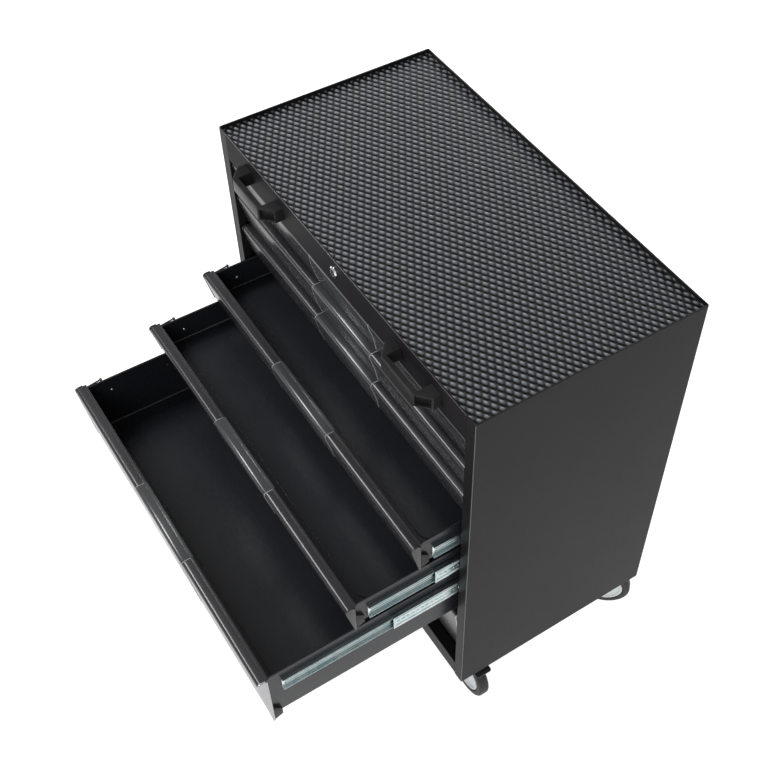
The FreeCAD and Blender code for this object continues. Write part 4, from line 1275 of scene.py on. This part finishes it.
@dataclass
class KeyLock:
    """The cylinder lock's case: its flange and its barrel's face."""

    shop: Workshop
    flange: float = 12.0 * MM
    barrel: float = 9.5 * MM
    proud: float = 5.0 * MM
    plug: float = 7.0 * MM
    play: float = 0.05 * MM

    def build(self) -> None:
        """Makes the flanged case in place of the barrel's node."""
        low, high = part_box("lock_barrel")
        centre = Vector(((low.x + high.x) / 2, low.y, (low.z + high.z) / 2))
        frame = Matrix.Translation(centre) @ Matrix.Rotation(math.radians(-90), 4, "X")
        length, inner = high.y - low.y, self.plug + self.play
        proud, flange, barrel = self.proud, self.flange, self.barrel
        shape = Shape()
        shape.lathe([(inner, 3 * MM), (inner, 0.3 * MM), (inner + 0.4 * MM, 0),
                     (barrel - 0.6 * MM, 0), (barrel, 0.5 * MM),
                     (flange - 0.9 * MM, 1.6 * MM), (flange - 0.2 * MM, 2.2 * MM),
                     (flange, 3 * MM), (flange, proud), (barrel, proud),
                     (barrel, length - 1 * MM), (barrel - 1 * MM, length),
                     (inner, length), (inner, 3 * MM)], frame)
        self.shop.piece(shape, "lock_case", "lock_chrome", "cabinet", ["lock_barrel"])


@dataclass
class Caster:
    """One wheel: spun tyre and dished rim."""

    shop: Workshop
    place: str
    radius: float = 62.5 * MM
    width: float = 27.0 * MM
    tyre: float = 18.0 * MM
    shoulder: float = 7.0 * MM
    shoulder_steps: int = 6
    groove: float = 3.2 * MM
    rim_width: float = 26.0 * MM
    lip: float = 5.0 * MM
    dish: float = 3.0 * MM
    hub: float = 15.0 * MM
    hub_width: float = 31.0 * MM
    bore: float = 5.05 * MM
    steps: int = 72

    def build(self) -> None:
        """Makes the tyre and the rim round the wheel's joint."""
        joint = self.shop.joint(f"roll_{self.place}")
        frame = aimed(joint["pos_m"], Vector(joint["axis"]).normalized())
        for name, side, slot, smooth in (("tyre", self._tyre(), "tyre_rubber", 40.0),
                                         ("rim", self._rim(), "rim_plastic", 35.0)):
            shape = Shape()
            shape.lathe(mirrored(side), frame, self.steps)
            self.shop.piece(shape, f"{name}_{self.place}", slot, f"wheel_{self.place}",
                            [f"{self.place}_{name}"], smooth=smooth)

    def _tyre(self) -> list:
        """Draws half the tyre, with a rounded shoulder and a shallow side groove.

        Returns:
            Points of radius and height, from the seat to the tread.
        """
        inner, half, round_off = self.radius - self.tyre, self.width / 2, self.shoulder
        groove = self.rim_width / 2 - self.groove
        side = [(inner, groove), (inner + 2.4 * MM, groove), (inner + 3.2 * MM, half - 1 * MM),
                (inner + 4.4 * MM, half - 0.3 * MM), (inner + 7 * MM, half)]
        for i in range(self.shoulder_steps + 1):
            angle = math.radians(90 * i / self.shoulder_steps)
            side.append((self.radius - round_off + round_off * math.sin(angle),
                         half - round_off + round_off * math.cos(angle)))
        return side

    def _rim(self) -> list:
        """Draws half the dished rim, with its lip, hub and bore.

        Returns:
            Points of radius and height, from the seat to the bore.
        """
        outer, half, hub = self.radius - self.tyre, self.rim_width / 2, self.hub
        well, dish, end = outer - self.lip, half - self.dish, self.hub_width / 2
        return [(outer, half - 0.5 * MM), (outer - 0.5 * MM, half), (well + 0.8 * MM, half),
                (well, half - 0.8 * MM), (well - 2 * MM, dish), (hub + 5 * MM, dish - 1 * MM),
                (hub + 1 * MM, dish + 1 * MM), (hub, half - 1 * MM), (hub - 0.6 * MM, end),
                (self.bore + 0.8 * MM, end), (self.bore, end - 0.6 * MM)]


@dataclass
class BrakePedal:
    """One brake pedal: a hub on its pin and a blade that widens to its tread."""

    shop: Workshop
    side: str
    reach: float = 42.0 * MM
    hub: float = 5.5 * MM
    hub_end: float = 1.0 * MM
    hub_edge: float = 0.6 * MM
    neck: float = 13.0 * MM
    half: float = 19.5 * MM
    shoulder: float = 26.0 * MM
    flare: float = 9.0 * MM
    thick: float = 4.6 * MM
    fall: float = 4.0 * MM
    edge: float = 1.0 * MM
    ribs: int = 3
    rib_step: float = 5.0 * MM
    rib_width: float = 1.8 * MM
    rib_inset: float = 4.0 * MM

    def build(self) -> None:
        """Makes the pedal on its node's pin."""
        low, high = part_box(f"front_{self.side}_pedal")
        way = 1 if high.x > 0 else -1
        pin, middle = (low.x if way > 0 else high.x) + way * self.hub, (low.y + high.y) / 2
        half = [(0, self.neck, 0), (self.shoulder - self.flare, self.neck, 4 * MM),
                (self.shoulder, self.half, 3 * MM), (self.reach, self.half, 5 * MM)]
        outline = [(x, -y, radius) for x, y, radius in half] + half[::-1]
        shape = Shape()
        shape.prism(Plane.XY, high.z - self.thick, high.z,
                    [Corner(pin + way * x, middle + y, radius) for x, y, radius in outline])
        shape.bevel_sharp(self.edge, 2)
        rib = self.half - self.rib_inset
        for i in range(self.ribs):
            start = self.reach - self.rib_step * (i + 1)
            shape.block((pin + way * start, middle - rib, high.z - 0.5 * MM),
                        (pin + way * (start - self.rib_width), middle + rib,
                         high.z + 0.8 * MM), 0.5 * MM)
        for vertex in shape.bm.verts:
            vertex.co.z -= self.fall * abs(vertex.co.x - pin) / self.reach
        end, level = self.neck + self.hub_end, low.z + self.hub
        shape.rod((pin, middle - end, level), (pin, middle + end, level), self.hub, 28,
                  self.hub_edge)
        self.shop.piece(shape, f"pedal_{self.side}", "black_plastic",
                        f"pedal_front_{self.side}", [f"front_{self.side}_pedal"],
                        finish="pedal_plastic")


@dataclass
class CabinetEdges:
    """The rolled front edges of the side panels and of the top rail, painted light as a painted
    highlight.
    """

    shop: Workshop
    roll: float = 0.85 * MM
    proud: float = 0.35 * MM
    end_gap: float = 2.0 * MM
    strip: float = 1.6 * MM
    strip_drop: float = 0.02 * MM
    edge: float = 0.3 * MM

    def build(self) -> None:
        """Makes the rolled edges, light in colour as a painted highlight."""
        shape, inset = Shape(), self.roll - self.proud
        for name, way in (("left_side_panel", -1), ("right_side_panel", 1)):
            low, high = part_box(name)
            x, y = (high.x if way > 0 else low.x) - way * inset, low.y + inset
            shape.rod((x, y, low.z + self.end_gap), (x, y, high.z - self.end_gap),
                      self.roll, 14, self.edge)
        low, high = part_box("top_rail")
        shape.block((low.x, low.y - self.proud, high.z - self.strip),
                    (high.x, low.y + self.proud, high.z - self.strip_drop), self.edge)
        self.shop.piece(shape, "rolled_front_edge_highlights", "cabinet_paint", "cabinet",
                        smooth=40.0, finish="painted_highlight_fold")


# Whole cabinet


def dress(shop: Workshop) -> None:
    """Gives every carried-over node the material of its slot, and the top rail its own.

    Args:
        shop: The workshop.
    """
    slots = {part["node"]: part["material_slot"] for part in shop.frame["record"]["subparts"]}
    slots["top_rail"] = "rail_paint"
    for name, node in shop.frame["nodes"].items():
        material = shop.materials[slots[name]]
        if not node.data.materials:
            node.data.materials.append(material)
        for i in range(len(node.data.materials)):
            node.data.materials[i] = material
        LOG.info("dressed %s", name)


def main() -> None:
    """Builds the cabinet's looks round its frame."""
    logging.basicConfig(level=logging.INFO, format="%(message)s")
    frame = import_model()
    effects = Effects()
    shop = Workshop(frame, {name: finish.build(effects) for name, finish in FINISHES.items()})
    dress(shop)
    TopMat(shop).build()
    for number in DRAWERS:
        for part in (DrawerFront, DrawerFixings, RunnerRibs):
            part(shop, number).build()
    for side in ("left", "right"):
        PullHandle(shop, side).build()
        BrakePedal(shop, side).build()
    CabinetEdges(shop).build()
    KeyLock(shop).build()
    for place in ("front_left", "front_right", "rear_left", "rear_right"):
        Caster(shop, place).build()
    Studio(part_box("right_side_panel")[0][1]).build()


if __name__ == "__main__":
    main()
